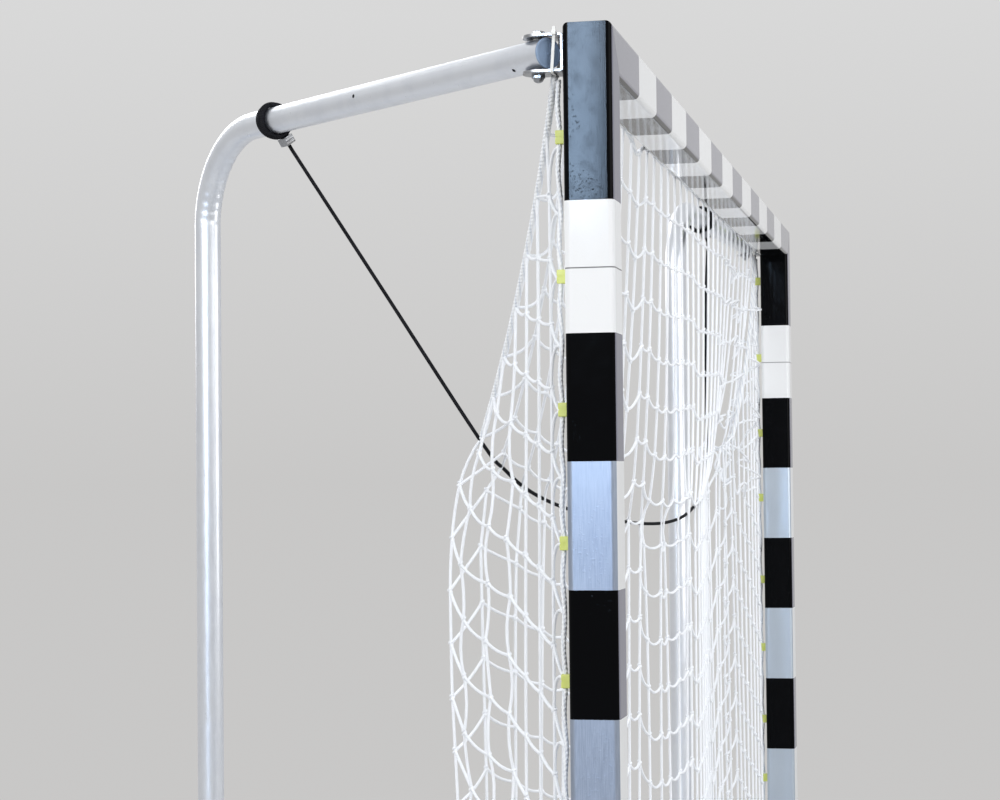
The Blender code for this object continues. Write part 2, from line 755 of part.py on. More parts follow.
def clip_band(shop, name, rope, center, foot, turn):
    """Adds one clip: the band at the rope, a neck through the groove's mouth and a foot inside it."""
    band_size = 2 * (ROPE_RADIUS + CLIP_WALL)
    neck_width = GROOVE_MOUTH - 2 * SLIDE_FIT
    foot_width = GROOVE_WIDTH - 2 * SLIDE_FIT
    foot_depth = GROOVE_DEPTH - GROOVE_LIP - 2 * SLIDE_FIT
    foot_y = HALF - GROOVE_LIP - SLIDE_FIT - foot_depth / 2
    tall = CLIP_HEIGHT
    band_z = (center.z + foot.z) / 2
    drop = abs(center.z - foot.z)
    reach = center.y - HALF
    pieces = (
        ((band_size, reach + ROPE_RADIUS - SLIDE_FIT, tall), center.y + ROPE_RADIUS),
        ((neck_width, reach + GROOVE_LIP + 2 * SLIDE_FIT, tall), center.y),
        ((foot_width, foot_depth, tall), foot_y + foot_depth / 2),
    )
    for k, (size, rear) in enumerate(pieces):
        lift = drop if k == 0 else 0
        place = Vector((center.x, rear - size[1] / 2, band_z if k == 0 else foot.z))
        across, deep, high = size
        size = (across, deep, high + lift) if turn else (high, deep, across + lift)
        boolean(rope, shop.add(f"{name}_{k}", block(size), place=place), "UNION")


def make_ropes(shop):
    top = BOW_TOP - TAB_GAP / 2 - BRACKET_PLATE - NUT_HEIGHT
    low = BOW_LOW_HEIGHT + TAB_GAP / 2 + BRACKET_PLATE + BOLT_HEAD_HEIGHT
    for side in SIGN:
        x = SIGN[side] * POST_X
        start, end = Vector((x, ROPE_Y, low + GAP)), Vector((x, ROPE_Y, top - GAP))
        make_edge_rope(shop, f"{side}_edge_rope", start, end, Vector((x, HALF, start.z)), True)
    reach = MOUTH_WIDTH / 2 - ROPE_RADIUS
    start, end = Vector((-reach, ROPE_Y, CROSSBAR_ROPE_Z)), Vector((reach, ROPE_Y, CROSSBAR_ROPE_Z))
    groove = Vector((0, HALF, MOUTH_HEIGHT + CROSSBAR_GROOVE_RISE))
    make_edge_rope(shop, "crossbar_edge_rope", start, end, groove, False)


def make_tie(shop, side):
    """The cable tie drawn round the top bracket, which holds the net's corner."""
    half_x = BRACKET_WIDTH / 2 + GAP
    half_z = TAB_GAP / 2 + BRACKET_PLATE + GAP
    inner = rounded_box((-half_x, -half_z), (half_x, half_z), GAP, 1)
    t = TIE_THICKNESS
    outer = rounded_box((-half_x - t, -half_z - t), (half_x + t, half_z + t), t, 2)
    mesh = extruded(shop, [outer, inner], TIE_WIDTH)
    place = (SIGN[side] * POST_X, HALF + TIE_SETBACK, BOW_TOP)
    shop.add(f"{side}_cable_tie", mesh, "nylon", place=place, turn=(math.radians(90), 0, 0))


def main():
    clear_scene()
    shop = Shop()
    make_crossbar(shop)
    for side in SIGN:
        make_side_frame(shop, side)
        make_hinge(shop, side, "upper", BOW_TOP)
        make_hinge(shop, side, "lower", BOW_LOW_HEIGHT)
        make_bow(shop, side)
        make_tie(shop, side)
    make_ropes(shop)
    make_net(shop, make_cord(shop))


main()
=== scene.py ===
"""A handball goal: mitred banded bars, two swinging net bows, an elastic cord and a knotted net.

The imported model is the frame. Every size is in metres. The goal's own lines have x across the mouth,
y behind the posts' middle and z above the floor, and GoalLines puts them into the frame.
"""

from __future__ import annotations

import logging
import math
from dataclasses import dataclass, field
from enum import Enum
from typing import Callable, Iterable, Sequence

import bmesh
import bpy
import numpy as np
from mathutils import Matrix, Vector

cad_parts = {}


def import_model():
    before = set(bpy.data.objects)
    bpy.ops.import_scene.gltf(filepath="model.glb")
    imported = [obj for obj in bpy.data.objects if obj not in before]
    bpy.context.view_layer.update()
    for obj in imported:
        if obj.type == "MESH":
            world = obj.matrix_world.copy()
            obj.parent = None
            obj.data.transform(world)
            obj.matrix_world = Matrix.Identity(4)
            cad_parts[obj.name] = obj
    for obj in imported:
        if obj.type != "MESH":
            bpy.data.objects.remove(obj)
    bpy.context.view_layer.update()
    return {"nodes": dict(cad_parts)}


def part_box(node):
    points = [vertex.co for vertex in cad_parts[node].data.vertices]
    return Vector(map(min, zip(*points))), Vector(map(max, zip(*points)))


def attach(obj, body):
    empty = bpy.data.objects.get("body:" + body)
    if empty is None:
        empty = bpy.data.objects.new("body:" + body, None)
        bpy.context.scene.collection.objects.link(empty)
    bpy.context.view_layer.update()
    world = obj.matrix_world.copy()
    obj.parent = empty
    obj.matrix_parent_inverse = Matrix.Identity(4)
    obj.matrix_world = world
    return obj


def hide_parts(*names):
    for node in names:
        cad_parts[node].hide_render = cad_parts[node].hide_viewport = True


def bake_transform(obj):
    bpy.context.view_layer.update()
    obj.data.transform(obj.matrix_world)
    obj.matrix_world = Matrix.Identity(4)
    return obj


log = logging.getLogger("handball_goal")

Color = tuple[float, float, float]
Point = tuple[float, float, float]

POINTED_END = 0.05
"""A pointed tube's width at its ends, as a share of its full width."""

REACH_THROUGH = 0.1
"""How far a cutting tool reaches, which is past any piece of a hinge."""

CLIP_SPACING = 0.21
"""The distance between two net clips."""

FIRST_CLIP_X = -1.365
"""The crossbar's first clip from the left."""

BAY_DROP = 0.004
"""How far the crossbar's edge rope hangs midway between two clips."""

SLACK_X = -0.735
"""The crossbar's one place without a clip, where its edge rope hangs slack."""

SLACK_DROP = 0.030
"""How far the rope hangs there."""

SLACK_WIDTH = 0.062
"""How far to each side of that place the rope's drop reaches."""


class Side(Enum):
    """The goal's two sides, as seen from the field."""

    LEFT = "left"
    RIGHT = "right"

    @property
    def sign(self) -> int:
        """The side's direction along x."""
        return -1 if self is Side.LEFT else 1

    @property
    def bow(self) -> str:
        """The body of the side's bow."""
        return f"{self.value}_bow"


class Arm(Enum):
    """A bow's two arms."""

    UPPER = "upper"
    LOWER = "lower"


class Run(Enum):
    """The way a bar runs, which its film's bands follow."""

    UPRIGHT = "upright"
    ACROSS = "across"


# Shader expressions


class Shade:
    """One socket's output in a node tree. Python's operators on it add Math nodes."""

    def __init__(self, board: "Nodes", socket: bpy.types.NodeSocket) -> None:
        """Wraps a socket.

        Args:
            board: The node tree's builder.
            socket: The output socket.
        """
        self.board = board
        self.socket = socket

    def _math(self, operation: str, *values: object) -> "Shade":
        """Adds one Math node.

        Args:
            operation: The node's operation.
            values: Its two or three values, sockets or numbers.

        Returns:
            The node's result.
        """
        return self.board.node(
            "ShaderNodeMath", {"operation": operation}, dict(enumerate(values))
        )

    def __add__(self, other: object) -> "Shade":
        """The sum."""
        return self._math("ADD", self, other)

    def __radd__(self, other: object) -> "Shade":
        """The sum, from the right."""
        return self._math("ADD", other, self)

    def __sub__(self, other: object) -> "Shade":
        """The difference."""
        return self._math("SUBTRACT", self, other)

    def __rsub__(self, other: object) -> "Shade":
        """The difference, from the right."""
        return self._math("SUBTRACT", other, self)

    def __mul__(self, other: object) -> "Shade":
        """The product."""
        return self._math("MULTIPLY", self, other)

    def __rmul__(self, other: object) -> "Shade":
        """The product, from the right."""
        return self._math("MULTIPLY", other, self)

    def __truediv__(self, other: object) -> "Shade":
        """The quotient."""
        return self._math("DIVIDE", self, other)

    def __rtruediv__(self, other: object) -> "Shade":
        """The quotient, from the right."""
        return self._math("DIVIDE", other, self)

    def __pow__(self, other: object) -> "Shade":
        """The power."""
        return self._math("POWER", self, other)

    def __mod__(self, other: object) -> "Shade":
        """The remainder."""
        return self._math("FLOORED_MODULO", self, other)

    def __lt__(self, other: object) -> "Shade":
        """1 where this is less."""
        return self._math("LESS_THAN", self, other)

    def __gt__(self, other: object) -> "Shade":
        """1 where this is more."""
        return self._math("GREATER_THAN", self, other)

    def __abs__(self) -> "Shade":
        """The size without its sign."""
        return self._math("ABSOLUTE", self)

    def sine(self) -> "Shade":
        """The sine."""
        return self._math("SINE", self)

    def high(self, other: object) -> "Shade":
        """The larger of the two."""
        return self._math("MAXIMUM", self, other)

    def ease(self, start: float, end: float) -> "Shade":
        """A smooth step.

        Args:
            start: Where it is 0.
            end: Where it is 1, which may be less than start.

        Returns:
            The step.
        """
        flip = end < start
        lowest, highest = (end, start) if flip else (start, end)
        step = self.board.node(
            "ShaderNodeMapRange",
            {"interpolation_type": "SMOOTHSTEP"},
            {"Value": self, "From Min": lowest, "From Max": highest},
        )
        return 1 - step if flip else step

    def span(self, low: float, high: float, to_low: float, to_high: float) -> "Shade":
        """Maps one range of values to another.

        Args:
            low: The lowest value.
            high: The highest value.
            to_low: What the lowest becomes.
            to_high: What the highest becomes.

        Returns:
            The mapped value.
        """
        return self.board.node(
            "ShaderNodeMapRange",
            {},
            {
                "Value": self,
                "From Min": low,
                "From Max": high,
                "To Min": to_low,
                "To Max": to_high,
            },
        )


class Nodes:
    """Adds shader nodes to one tree."""

    def __init__(self, tree: bpy.types.NodeTree) -> None:
        """Starts on a tree.

        Args:
            tree: The tree.
        """
        self.tree = tree

    def plug(self, socket: bpy.types.NodeSocket, value: object) -> None:
        """Sets or links one input socket.

        Args:
            socket: The input.
            value: A number, a colour, a vector or a Shade.
        """
        if isinstance(value, Shade):
            self.tree.links.new(value.socket, socket)
        elif isinstance(value, (tuple, list)) and len(value) == 3 and socket.type == "RGBA":
            socket.default_value = (*value, 1)
        else:
            socket.default_value = value

    def node(
        self,
        kind: str,
        settings: dict[str, object] | None = None,
        inputs: dict[object, object] | None = None,
        output: object = 0,
    ) -> Shade:
        """Adds one node.

        Args:
            kind: The node's type.
            settings: Its properties, set first.
            inputs: Values or links of its sockets, by name or number.
            output: The name or number of the output to return.

        Returns:
            That output.
        """
        node = self.tree.nodes.new(kind)
        for key, value in (settings or {}).items():
            setattr(node, key, value)
        for key, value in (inputs or {}).items():
            self.plug(node.inputs[key], value)
        return Shade(self, node.outputs[output])

    def place(self) -> Shade:
        """The point's place in the object's own lines."""
        return self.node("ShaderNodeTexCoord", output="Object")

    def along(self) -> Shade:
        """The point's place in the piece's own map: turns round it, and metres along it."""
        return self.node("ShaderNodeUVMap", {"uv_map": "UVMap"})

    def axes(self, vector: Shade) -> tuple[Shade, Shade, Shade]:
        """Splits a vector.

        Args:
            vector: The vector.

        Returns:
            Its x, y and z.
        """
        node = self.tree.nodes.new("ShaderNodeSeparateXYZ")
        self.plug(node.inputs[0], vector)
        return tuple(Shade(self, output) for output in node.outputs)

    def stretched(self, vector: Shade, scale: Point) -> Shade:
        """The vector times a scale for each axis."""
        settings = {"operation": "MULTIPLY"}
        return self.node("ShaderNodeVectorMath", settings, {0: vector, 1: scale})

    def noise(self, vector: Shade, scale: float, detail: float = 3.0, rough: float = 0.5) -> Shade:
        """Soft noise from 0 to 1.

        Args:
            vector: Where it is read.
            scale: Its waves per metre.
            detail: How many finer octaves it has.
            rough: How strong these are.

        Returns:
            The noise.
        """
        inputs = {"Vector": vector, "Scale": scale, "Detail": detail, "Roughness": rough}
        return self.node("ShaderNodeTexNoise", {}, inputs)

    def mix(self, share: object, first: object, second: object) -> Shade:
        """Blends two colours.

        Args:
            share: The second one's share.
            first: The first colour.
            second: The second colour.

        Returns:
            The blend.
        """
        node = self.tree.nodes.new("ShaderNodeMix")
        node.data_type = "RGBA"
        sockets = {socket.identifier: socket for socket in node.inputs}
        for key, value in (("Factor_Float", share), ("A_Color", first), ("B_Color", second)):
            self.plug(sockets[key], value)
        return Shade(self, next(s for s in node.outputs if s.identifier == "Result_Color"))

    def relief(self, height: Shade, strength: float, distance: float) -> Shade:
        """A bumped normal from a height.

        Args:
            height: The height, from 0 to 1.
            strength: The bump's strength.
            distance: The height's size in metres.

        Returns:
            The normal.
        """
        inputs = {"Height": height, "Strength": strength, "Distance": distance}
        return self.node("ShaderNodeBump", {}, inputs)

    def end(self, output: bpy.types.Node, share: Shade, first: Shade, second: Shade) -> None:
        """Blends two shaders into the tree's output.

        Args:
            output: The output.
            share: The second shader's share.
            first: The first shader.
            second: The second shader.
        """
        mixed = self.node("ShaderNodeMixShader", {}, {0: share, 1: first, 2: second})
        self.plug(output.inputs["Surface"], mixed)


class Board(Nodes):
    """Builds one material's nodes round its principled shader."""

    def __init__(self, name: str) -> None:
        """Starts a material.

        Args:
            name: The material's name.
        """
        self.material = bpy.data.materials.new(name)
        self.material.use_nodes = True
        super().__init__(self.material.node_tree)
        self.shader = self.tree.nodes["Principled BSDF"]

    def dress(self, **inputs: object) -> bpy.types.Material:
        """Sets the principled shader's sockets, written with underscores.

        Args:
            inputs: Values or links, such as Base_Color.

        Returns:
            The finished material.
        """
        for key, value in inputs.items():
            self.plug(self.shader.inputs[key.replace("_", " ")], value)
        return self.material


# The goal's lines


@dataclass(frozen=True)
class GoalLines:
    """The goal's place in the frame, and the sizes that several pieces share."""

    line_y: float
    top: float
    mouth_width: float = 3.000
    mouth_height: float = 2.000
    section: float = 0.080
    edge_radius: float = 0.010
    hinge_setback: float = 0.045
    bow_radius: float = 0.025
    bow_reach: float = 1.040
    bow_bend: float = 0.175
    bow_low: float = 0.065
    bow_tail: float = 0.024
    top_drop: float = 0.043
    fold_deg: tuple[float, float] = (40.5, 86.5)
    loop_inset: tuple[float, float] = (0.250, 0.350)
    loop_turn_deg: tuple[float, float] = (35.0, 16.0)
    loop_strand: float = 0.0042
    clamp_size: Point = (0.022, 0.014, 0.016)
    clamp_drop: float = 0.0345
    rope_standoff: float = 0.012
    rope_radius: float = 0.004
    groove_rise: float = 0.021

    @classmethod
    def read(cls) -> "GoalLines":
        """Reads the posts' middle and the bars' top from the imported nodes."""
        low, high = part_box("left_post")
        _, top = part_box("crossbar")
        return cls(line_y=(low.y + high.y) / 2, top=top.z)

    @property
    def half(self) -> float:
        """Half a bar's width."""
        return self.section / 2

    @property
    def post_x(self) -> float:
        """The posts' middle."""
        return self.mouth_width / 2 + self.half

    @property
    def hinge_y(self) -> float:
        """The hinges' axis behind the posts' middle."""
        return self.half + self.hinge_setback

    @property
    def bow_top(self) -> float:
        """The upper arms' height."""
        return self.top - self.top_drop

    def arm_height(self, arm: Arm) -> float:
        """The height of a bow's arm."""
        return self.bow_top if arm is Arm.UPPER else self.bow_low

    @property
    def groove_height(self) -> float:
        """The height of the crossbar's groove."""
        return self.mouth_height + self.groove_rise

    @property
    def rope_y(self) -> float:
        """The edge ropes' line behind the posts' middle."""
        return self.half + self.rope_standoff

    def pick(self, pair: tuple[float, float], side: Side) -> float:
        """The side's own value of a pair."""
        return pair[0] if side is Side.LEFT else pair[1]

    def at(self, x: float, y: float, z: float) -> Vector:
        """A point of the goal's lines in the frame."""
        return Vector((x, y + self.line_y, z))

    def hinge(self, side: Side) -> Matrix:
        """The lines of a bow: its hinge axis is z, and its arms run along y."""
        place = Matrix.Translation(self.at(side.sign * self.post_x, self.hinge_y, 0))
        turn = side.sign * math.radians(self.pick(self.fold_deg, side))
        return place @ Matrix.Rotation(turn, 4, "Z")

    def loop_seat(self, side: Side) -> Matrix:
        """The lines of a loop: its middle is in the arm, and its cord leaves along -z.

        Args:
            side: The loop's side.

        Returns:
            The matrix from the loop's lines to the frame.
        """
        reach = self.bow_reach - self.pick(self.loop_inset, side)
        turn = side.sign * math.radians(self.pick(self.loop_turn_deg, side))
        seat = Matrix.Translation((0, reach, self.bow_top)) @ Matrix.Rotation(turn, 4, "Y")
        return self.hinge(side) @ seat

    def below_clamp(self, side: Side, distance: float) -> Vector:
        """The point on a clamp's axis this far below it."""
        drop = self.clamp_drop + self.clamp_size[2] + distance
        return self.loop_seat(side) @ Vector((0, 0, -drop))


def even_steps(points: np.ndarray, count: int) -> np.ndarray:
    """Points at even steps along a line.

    Args:
        points: The line's points.
        count: How many points to give back.

    Returns:
        The even points.
    """
    lengths = arc_lengths(points)
    wanted = np.linspace(0.0, lengths[-1], count)
    return np.stack([np.interp(wanted, lengths, points[:, k]) for k in range(3)], axis=1)


def smooth_line(points: np.ndarray, count: int, steps: int = 20) -> np.ndarray:
    """Even points along a Catmull-Rom curve.

    Args:
        points: What the curve goes through.
        count: How many points to give back.
        steps: The fine steps between two of the given points.

    Returns:
        The curve's points.
    """
    ends = np.vstack([2 * points[0] - points[1], points, 2 * points[-1] - points[-2]])
    a, b, c, d = ends[:-3, None], ends[1:-2, None], ends[2:-1, None], ends[3:, None]
    t = (np.arange(steps) / steps)[None, :, None]
    fine = (2 * b + (c - a) * t + (2 * a - 5 * b + 4 * c - d) * t**2) / 2
    fine += (3 * b - a - 3 * c + d) * t**3 / 2
    return even_steps(np.vstack([fine.reshape(-1, 3), points[-1:]]), count)


# Modelling


class Bench:
    """Blender's modelling tools, used as by hand on one piece at a time."""

    @staticmethod
    def clear() -> None:
        """Leaves edit mode and deselects everything."""
        if bpy.context.object and bpy.context.object.mode != "OBJECT":
            bpy.ops.object.mode_set(mode="OBJECT")
        bpy.ops.object.select_all(action="DESELECT")

    @classmethod
    def pick_up(cls, obj: bpy.types.Object) -> bpy.types.Object:
        """Selects one object and makes it active.

        Args:
            obj: The object.

        Returns:
            The object.
        """
        cls.clear()
        obj.select_set(True)
        bpy.context.view_layer.objects.active = obj
        return obj

    @classmethod
    def named(cls, name: str) -> bpy.types.Object:
        """Names the object that was just added.

        Args:
            name: Its name.

        Returns:
            The object.
        """
        obj = bpy.context.active_object
        obj.name = name
        obj.data.name = name
        return obj

    @classmethod
    def block(cls, name: str, low: Sequence[float], high: Sequence[float]) -> bpy.types.Object:
        """A box between two corners, to be shaped further.

        Args:
            name: The piece's name.
            low: Its lowest corner.
            high: Its highest corner.

        Returns:
            The box, with its place in its mesh.
        """
        cls.clear()
        middle = [(a + b) / 2 for a, b in zip(low, high)]
        bpy.ops.mesh.primitive_cube_add(size=1, location=middle)
        obj = cls.named(name)
        obj.scale = [b - a for a, b in zip(low, high)]
        bpy.ops.object.transform_apply(location=True, rotation=True, scale=True)
        return obj

    @classmethod
    def ring(cls, name: str, radius: float, sides: int, place: Point) -> bpy.types.Object:
        """An open level circle, to be extruded or spun.

        Args:
            name: The piece's name.
            radius: Its radius.
            sides: How many sides it has.
            place: Its middle.

        Returns:
            The circle.
        """
        cls.clear()
        bpy.ops.mesh.primitive_circle_add(vertices=sides, radius=radius, location=place)
        obj = cls.named(name)
        bpy.ops.object.transform_apply(location=True, rotation=True, scale=True)
        return obj

    @classmethod
    def rod(
        cls, name: str, radius: float, low: float, high: float, sides: int
    ) -> bpy.types.Object:
        """An upright rod about z, to be shaped further.

        Args:
            name: The piece's name.
            radius: Its radius.
            low: Its lower end.
            high: Its upper end.
            sides: How many sides it has.

        Returns:
            The rod.
        """
        cls.clear()
        bpy.ops.mesh.primitive_cylinder_add(
            vertices=sides, radius=radius, depth=high - low, location=(0, 0, (low + high) / 2)
        )
        obj = cls.named(name)
        bpy.ops.object.transform_apply(location=True, rotation=True, scale=True)
        return obj

    @classmethod
    def select(
        cls, obj: bpy.types.Object, kind: str, test: Callable[[object], bool]
    ) -> None:
        """Enters edit mode and selects the parts that pass a test.

        Args:
            obj: The piece.
            kind: VERT, EDGE or FACE.
            test: Says of a vertex, edge or face whether it is selected.
        """
        if obj.mode != "EDIT":
            cls.pick_up(obj)
            bpy.ops.object.mode_set(mode="EDIT")
        bpy.ops.mesh.select_mode(type=kind)
        bpy.ops.mesh.select_all(action="DESELECT")
        mesh = bmesh.from_edit_mesh(obj.data)
        parts = {"VERT": mesh.verts, "EDGE": mesh.edges, "FACE": mesh.faces}[kind]
        for part in parts:
            part.select_set(test(part))
        mesh.select_flush_mode()
        bmesh.update_edit_mesh(obj.data)

    @classmethod
    def bevel(
        cls,
        obj: bpy.types.Object,
        test: Callable[[object], bool],
        width: float,
        segments: int,
    ) -> None:
        """Bevels the edges that pass a test.

        Args:
            obj: The piece.
            test: Says of an edge whether it is bevelled.
            width: The bevel's width.
            segments: How many steps it has.
        """
        cls.select(obj, "EDGE", test)
        bpy.ops.mesh.bevel(offset=width, segments=segments, affect="EDGES")
        cls.clear()

    @classmethod
    def bisect(cls, obj: bpy.types.Object, place: Vector, normal: Vector) -> None:
        """Cuts a piece on a plane, drops what lies beyond it and closes the cut.

        Args:
            obj: The piece.
            place: A point on the plane.
            normal: The plane's direction, towards what is dropped.
        """
        cls.select(obj, "FACE", lambda face: True)
        bpy.ops.mesh.bisect(
            plane_co=place, plane_no=normal, use_fill=True, clear_outer=True, threshold=1e-6
        )
        cls.clear()

    @classmethod
    def cut(
        cls, obj: bpy.types.Object, other: bpy.types.Object, operation: str = "DIFFERENCE"
    ) -> bpy.types.Object:
        """Cuts one piece with another, or joins them, and takes the tool away.

        Args:
            obj: The piece that stays.
            other: The tool.
            operation: DIFFERENCE, UNION or INTERSECT.

        Returns:
            The piece that stays.
        """
        modifier = obj.modifiers.new("cut", "BOOLEAN")
        modifier.operation = operation
        modifier.solver = "EXACT"
        modifier.object = other
        cls.apply(obj)
        bpy.data.objects.remove(other)
        return obj

    @classmethod
    def apply(cls, obj: bpy.types.Object) -> bpy.types.Object:
        """Applies all the modifiers of a piece.

        Args:
            obj: The piece.

        Returns:
            The piece.
        """
        cls.pick_up(obj)
        for modifier in list(obj.modifiers):
            bpy.ops.object.modifier_apply(modifier=modifier.name)
        return obj

    @classmethod
    def join(cls, name: str, pieces: Sequence[bpy.types.Object]) -> bpy.types.Object:
        """Joins pieces into the first one.

        Args:
            name: The joined piece's name.
            pieces: The pieces.

        Returns:
            The joined piece.
        """
        cls.pick_up(pieces[0])
        for piece in pieces[1:]:
            piece.select_set(True)
        bpy.ops.object.join()
        return cls.named(name)

    @classmethod
    def copy(cls, obj: bpy.types.Object, name: str, change: Matrix) -> bpy.types.Object:
        """A copy with its own mesh, moved by a matrix that goes into the mesh.

        Args:
            obj: The piece that is copied.
            name: The copy's name.
            change: The matrix.

        Returns:
            The copy.
        """
        twin = obj.copy()
        twin.data = obj.data.copy()
        twin.name = name
        twin.data.name = name
        bpy.context.scene.collection.objects.link(twin)
        cls.move(twin, change)
        return twin

    @classmethod
    def move(cls, obj: bpy.types.Object, change: Matrix) -> bpy.types.Object:
        """Moves a piece by a matrix that goes into its mesh.

        Args:
            obj: The piece.
            change: The matrix.

        Returns:
            The piece.
        """
        obj.data.transform(change)
        if change.determinant() < 0:
            obj.data.flip_normals()
        return obj

    @classmethod
    def outward(cls, obj: bpy.types.Object, merge: float = 1e-6) -> None:
        """Merges a piece's doubles and turns its faces outwards.

        Args:
            obj: The piece.
            merge: How close two points are to be merged.
        """
        cls.select(obj, "VERT", lambda vert: True)
        bpy.ops.mesh.remove_doubles(threshold=merge)
        bpy.ops.mesh.normals_make_consistent(inside=False)
        cls.clear()

    @classmethod
    def soften(cls, obj: bpy.types.Object, angle_deg: float = 30.0) -> bpy.types.Object:
        """Smooths the shading below an angle and keeps flat faces flat.

        Args:
            obj: The piece.
            angle_deg: The angle between two faces.

        Returns:
            The piece.
        """
        cls.pick_up(obj)
        bpy.ops.object.shade_smooth_by_angle(angle=math.radians(angle_deg))
        weighted = obj.modifiers.new("flat", "WEIGHTED_NORMAL")
        weighted.keep_sharp = True
        return cls.apply(obj)


def sharp(edge: object, angle_deg: float) -> bool:
    """Whether an edge between two faces is bent outwards by more than an angle."""
    return len(edge.link_faces) == 2 and edge.calc_face_angle_signed(0.0) > math.radians(angle_deg)


def flat_ring(edge: object, height: float) -> bool:
    """Whether an edge lies level at a height."""
    return all(abs(vert.co.z - height) < 1e-5 for vert in edge.verts)


def runs_along(edge: object, axis: int, least: float) -> bool:
    """Whether an edge runs further than the least length along an axis."""
    return abs(edge.verts[0].co[axis] - edge.verts[1].co[axis]) > least


def arc_lengths(points: np.ndarray) -> np.ndarray:
    """The length along a line up to each of its points."""
    return np.r_[0.0, np.cumsum(np.linalg.norm(np.diff(points, axis=0), axis=1))]


def length_of(points: np.ndarray) -> float:
    """The length of the line through points."""
    return float(np.linalg.norm(np.diff(points, axis=0), axis=1).sum())


@dataclass(frozen=True)
class Strand:
    """A round or lobed cord's section, and how far it twists."""

    radius: float
    sides: int = 8
    lobes: int = 0
    lobe_depth: float = 0.0
    turns_per_metre: float = 0.0

    def outline(self) -> np.ndarray:
        """The section's points."""
        angle = np.arange(self.sides) * (2 * math.pi / self.sides)
        radius = self.radius * (1 - self.lobe_depth * (1 - np.cos(self.lobes * angle)) / 2)
        return np.stack([radius * np.cos(angle), radius * np.sin(angle)], axis=1)

    def tubes(
        self, paths: np.ndarray, pointed: bool = False
    ) -> tuple[np.ndarray, np.ndarray, np.ndarray]:
        """The tubes' points, faces and map.

        Args:
            paths: Tubes by points by three.
            pointed: Whether the tubes close to a point at their ends.

        Returns:
            Points, faces of four and the map's values at the faces' corners.
        """
        count, steps, _ = paths.shape
        ahead = np.gradient(paths, axis=1)
        ahead /= np.linalg.norm(ahead, axis=2, keepdims=True) + 1e-12
        first = np.zeros((count, 3))
        first[np.arange(count), np.argmin(np.abs(ahead[:, 0]), axis=1)] = 1.0
        across = np.zeros_like(paths)
        for k in range(steps):
            first = first - ahead[:, k] * np.sum(first * ahead[:, k], axis=1, keepdims=True)
            first /= np.linalg.norm(first, axis=1, keepdims=True) + 1e-12
            across[:, k] = first
        third = np.cross(ahead, across)
        pieces = np.linalg.norm(np.diff(paths, axis=1), axis=2)
        length = np.concatenate([np.zeros((count, 1)), np.cumsum(pieces, axis=1)], axis=1)
        turn = length * self.turns_per_metre * 2 * math.pi
        x, y = self.outline().T
        cos, sin = np.cos(turn)[..., None], np.sin(turn)[..., None]
        u, v = x * cos - y * sin, x * sin + y * cos
        if pointed:
            u[:, [0, -1]] *= POINTED_END
            v[:, [0, -1]] *= POINTED_END
        rings = paths[:, :, None] + u[..., None] * across[:, :, None]
        rings += v[..., None] * third[:, :, None]
        index = np.arange(count * steps * self.sides).reshape(count, steps, self.sides)
        right = np.roll(index, -1, axis=2)
        quads = np.stack([index[:, :-1], right[:, :-1], right[:, 1:], index[:, 1:]], axis=-1)
        around = np.arange(self.sides) / self.sides
        u0 = np.broadcast_to(around, (count, steps - 1, self.sides))
        u1 = u0 + 1 / self.sides
        v0 = np.broadcast_to(length[:, :-1, None], u0.shape)
        v1 = np.broadcast_to(length[:, 1:, None], u0.shape)
        corners = np.stack(
            [np.stack(pair, axis=-1) for pair in ((u0, v0), (u1, v0), (u1, v1), (u0, v1))],
            axis=-2,
        )
        return rings.reshape(-1, 3), quads.reshape(-1, 4), corners.reshape(-1, 2)


def mesh_object(
    name: str, points: np.ndarray, faces: Sequence[Sequence[int]], corners: np.ndarray | None
) -> bpy.types.Object:
    """A smooth mesh from points, faces and a map.

    Args:
        name: The piece's name.
        points: Its points.
        faces: Its faces.
        corners: The map's value at each corner of each face, or None.

    Returns:
        The object.
    """
    mesh = bpy.data.meshes.new(name)
    mesh.from_pydata(points.tolist(), [], [list(map(int, face)) for face in faces])
    if corners is not None:
        layer = mesh.uv_layers.new(name="UVMap")
        layer.data.foreach_set("uv", corners.astype(np.float32).ravel())
    mesh.update()
    mesh.shade_smooth()
    obj = bpy.data.objects.new(name, mesh)
    bpy.context.scene.collection.objects.link(obj)
    return obj


def cord_object(name: str, path: np.ndarray, strand: Strand) -> bpy.types.Object:
    """One closed tube along a path.

    Args:
        name: The piece's name.
        path: The points it follows.
        strand: Its section.

    Returns:
        The object.
    """
    points, quads, corners = strand.tubes(path[None])
    sides = strand.sides
    start = list(range(sides))[::-1]
    end = list(range(len(points) - sides, len(points)))
    faces = quads.tolist() + [start, end]
    caps = np.zeros((2 * sides, 2))
    return mesh_object(name, points, faces, np.vstack([corners, caps]))


# Finishes


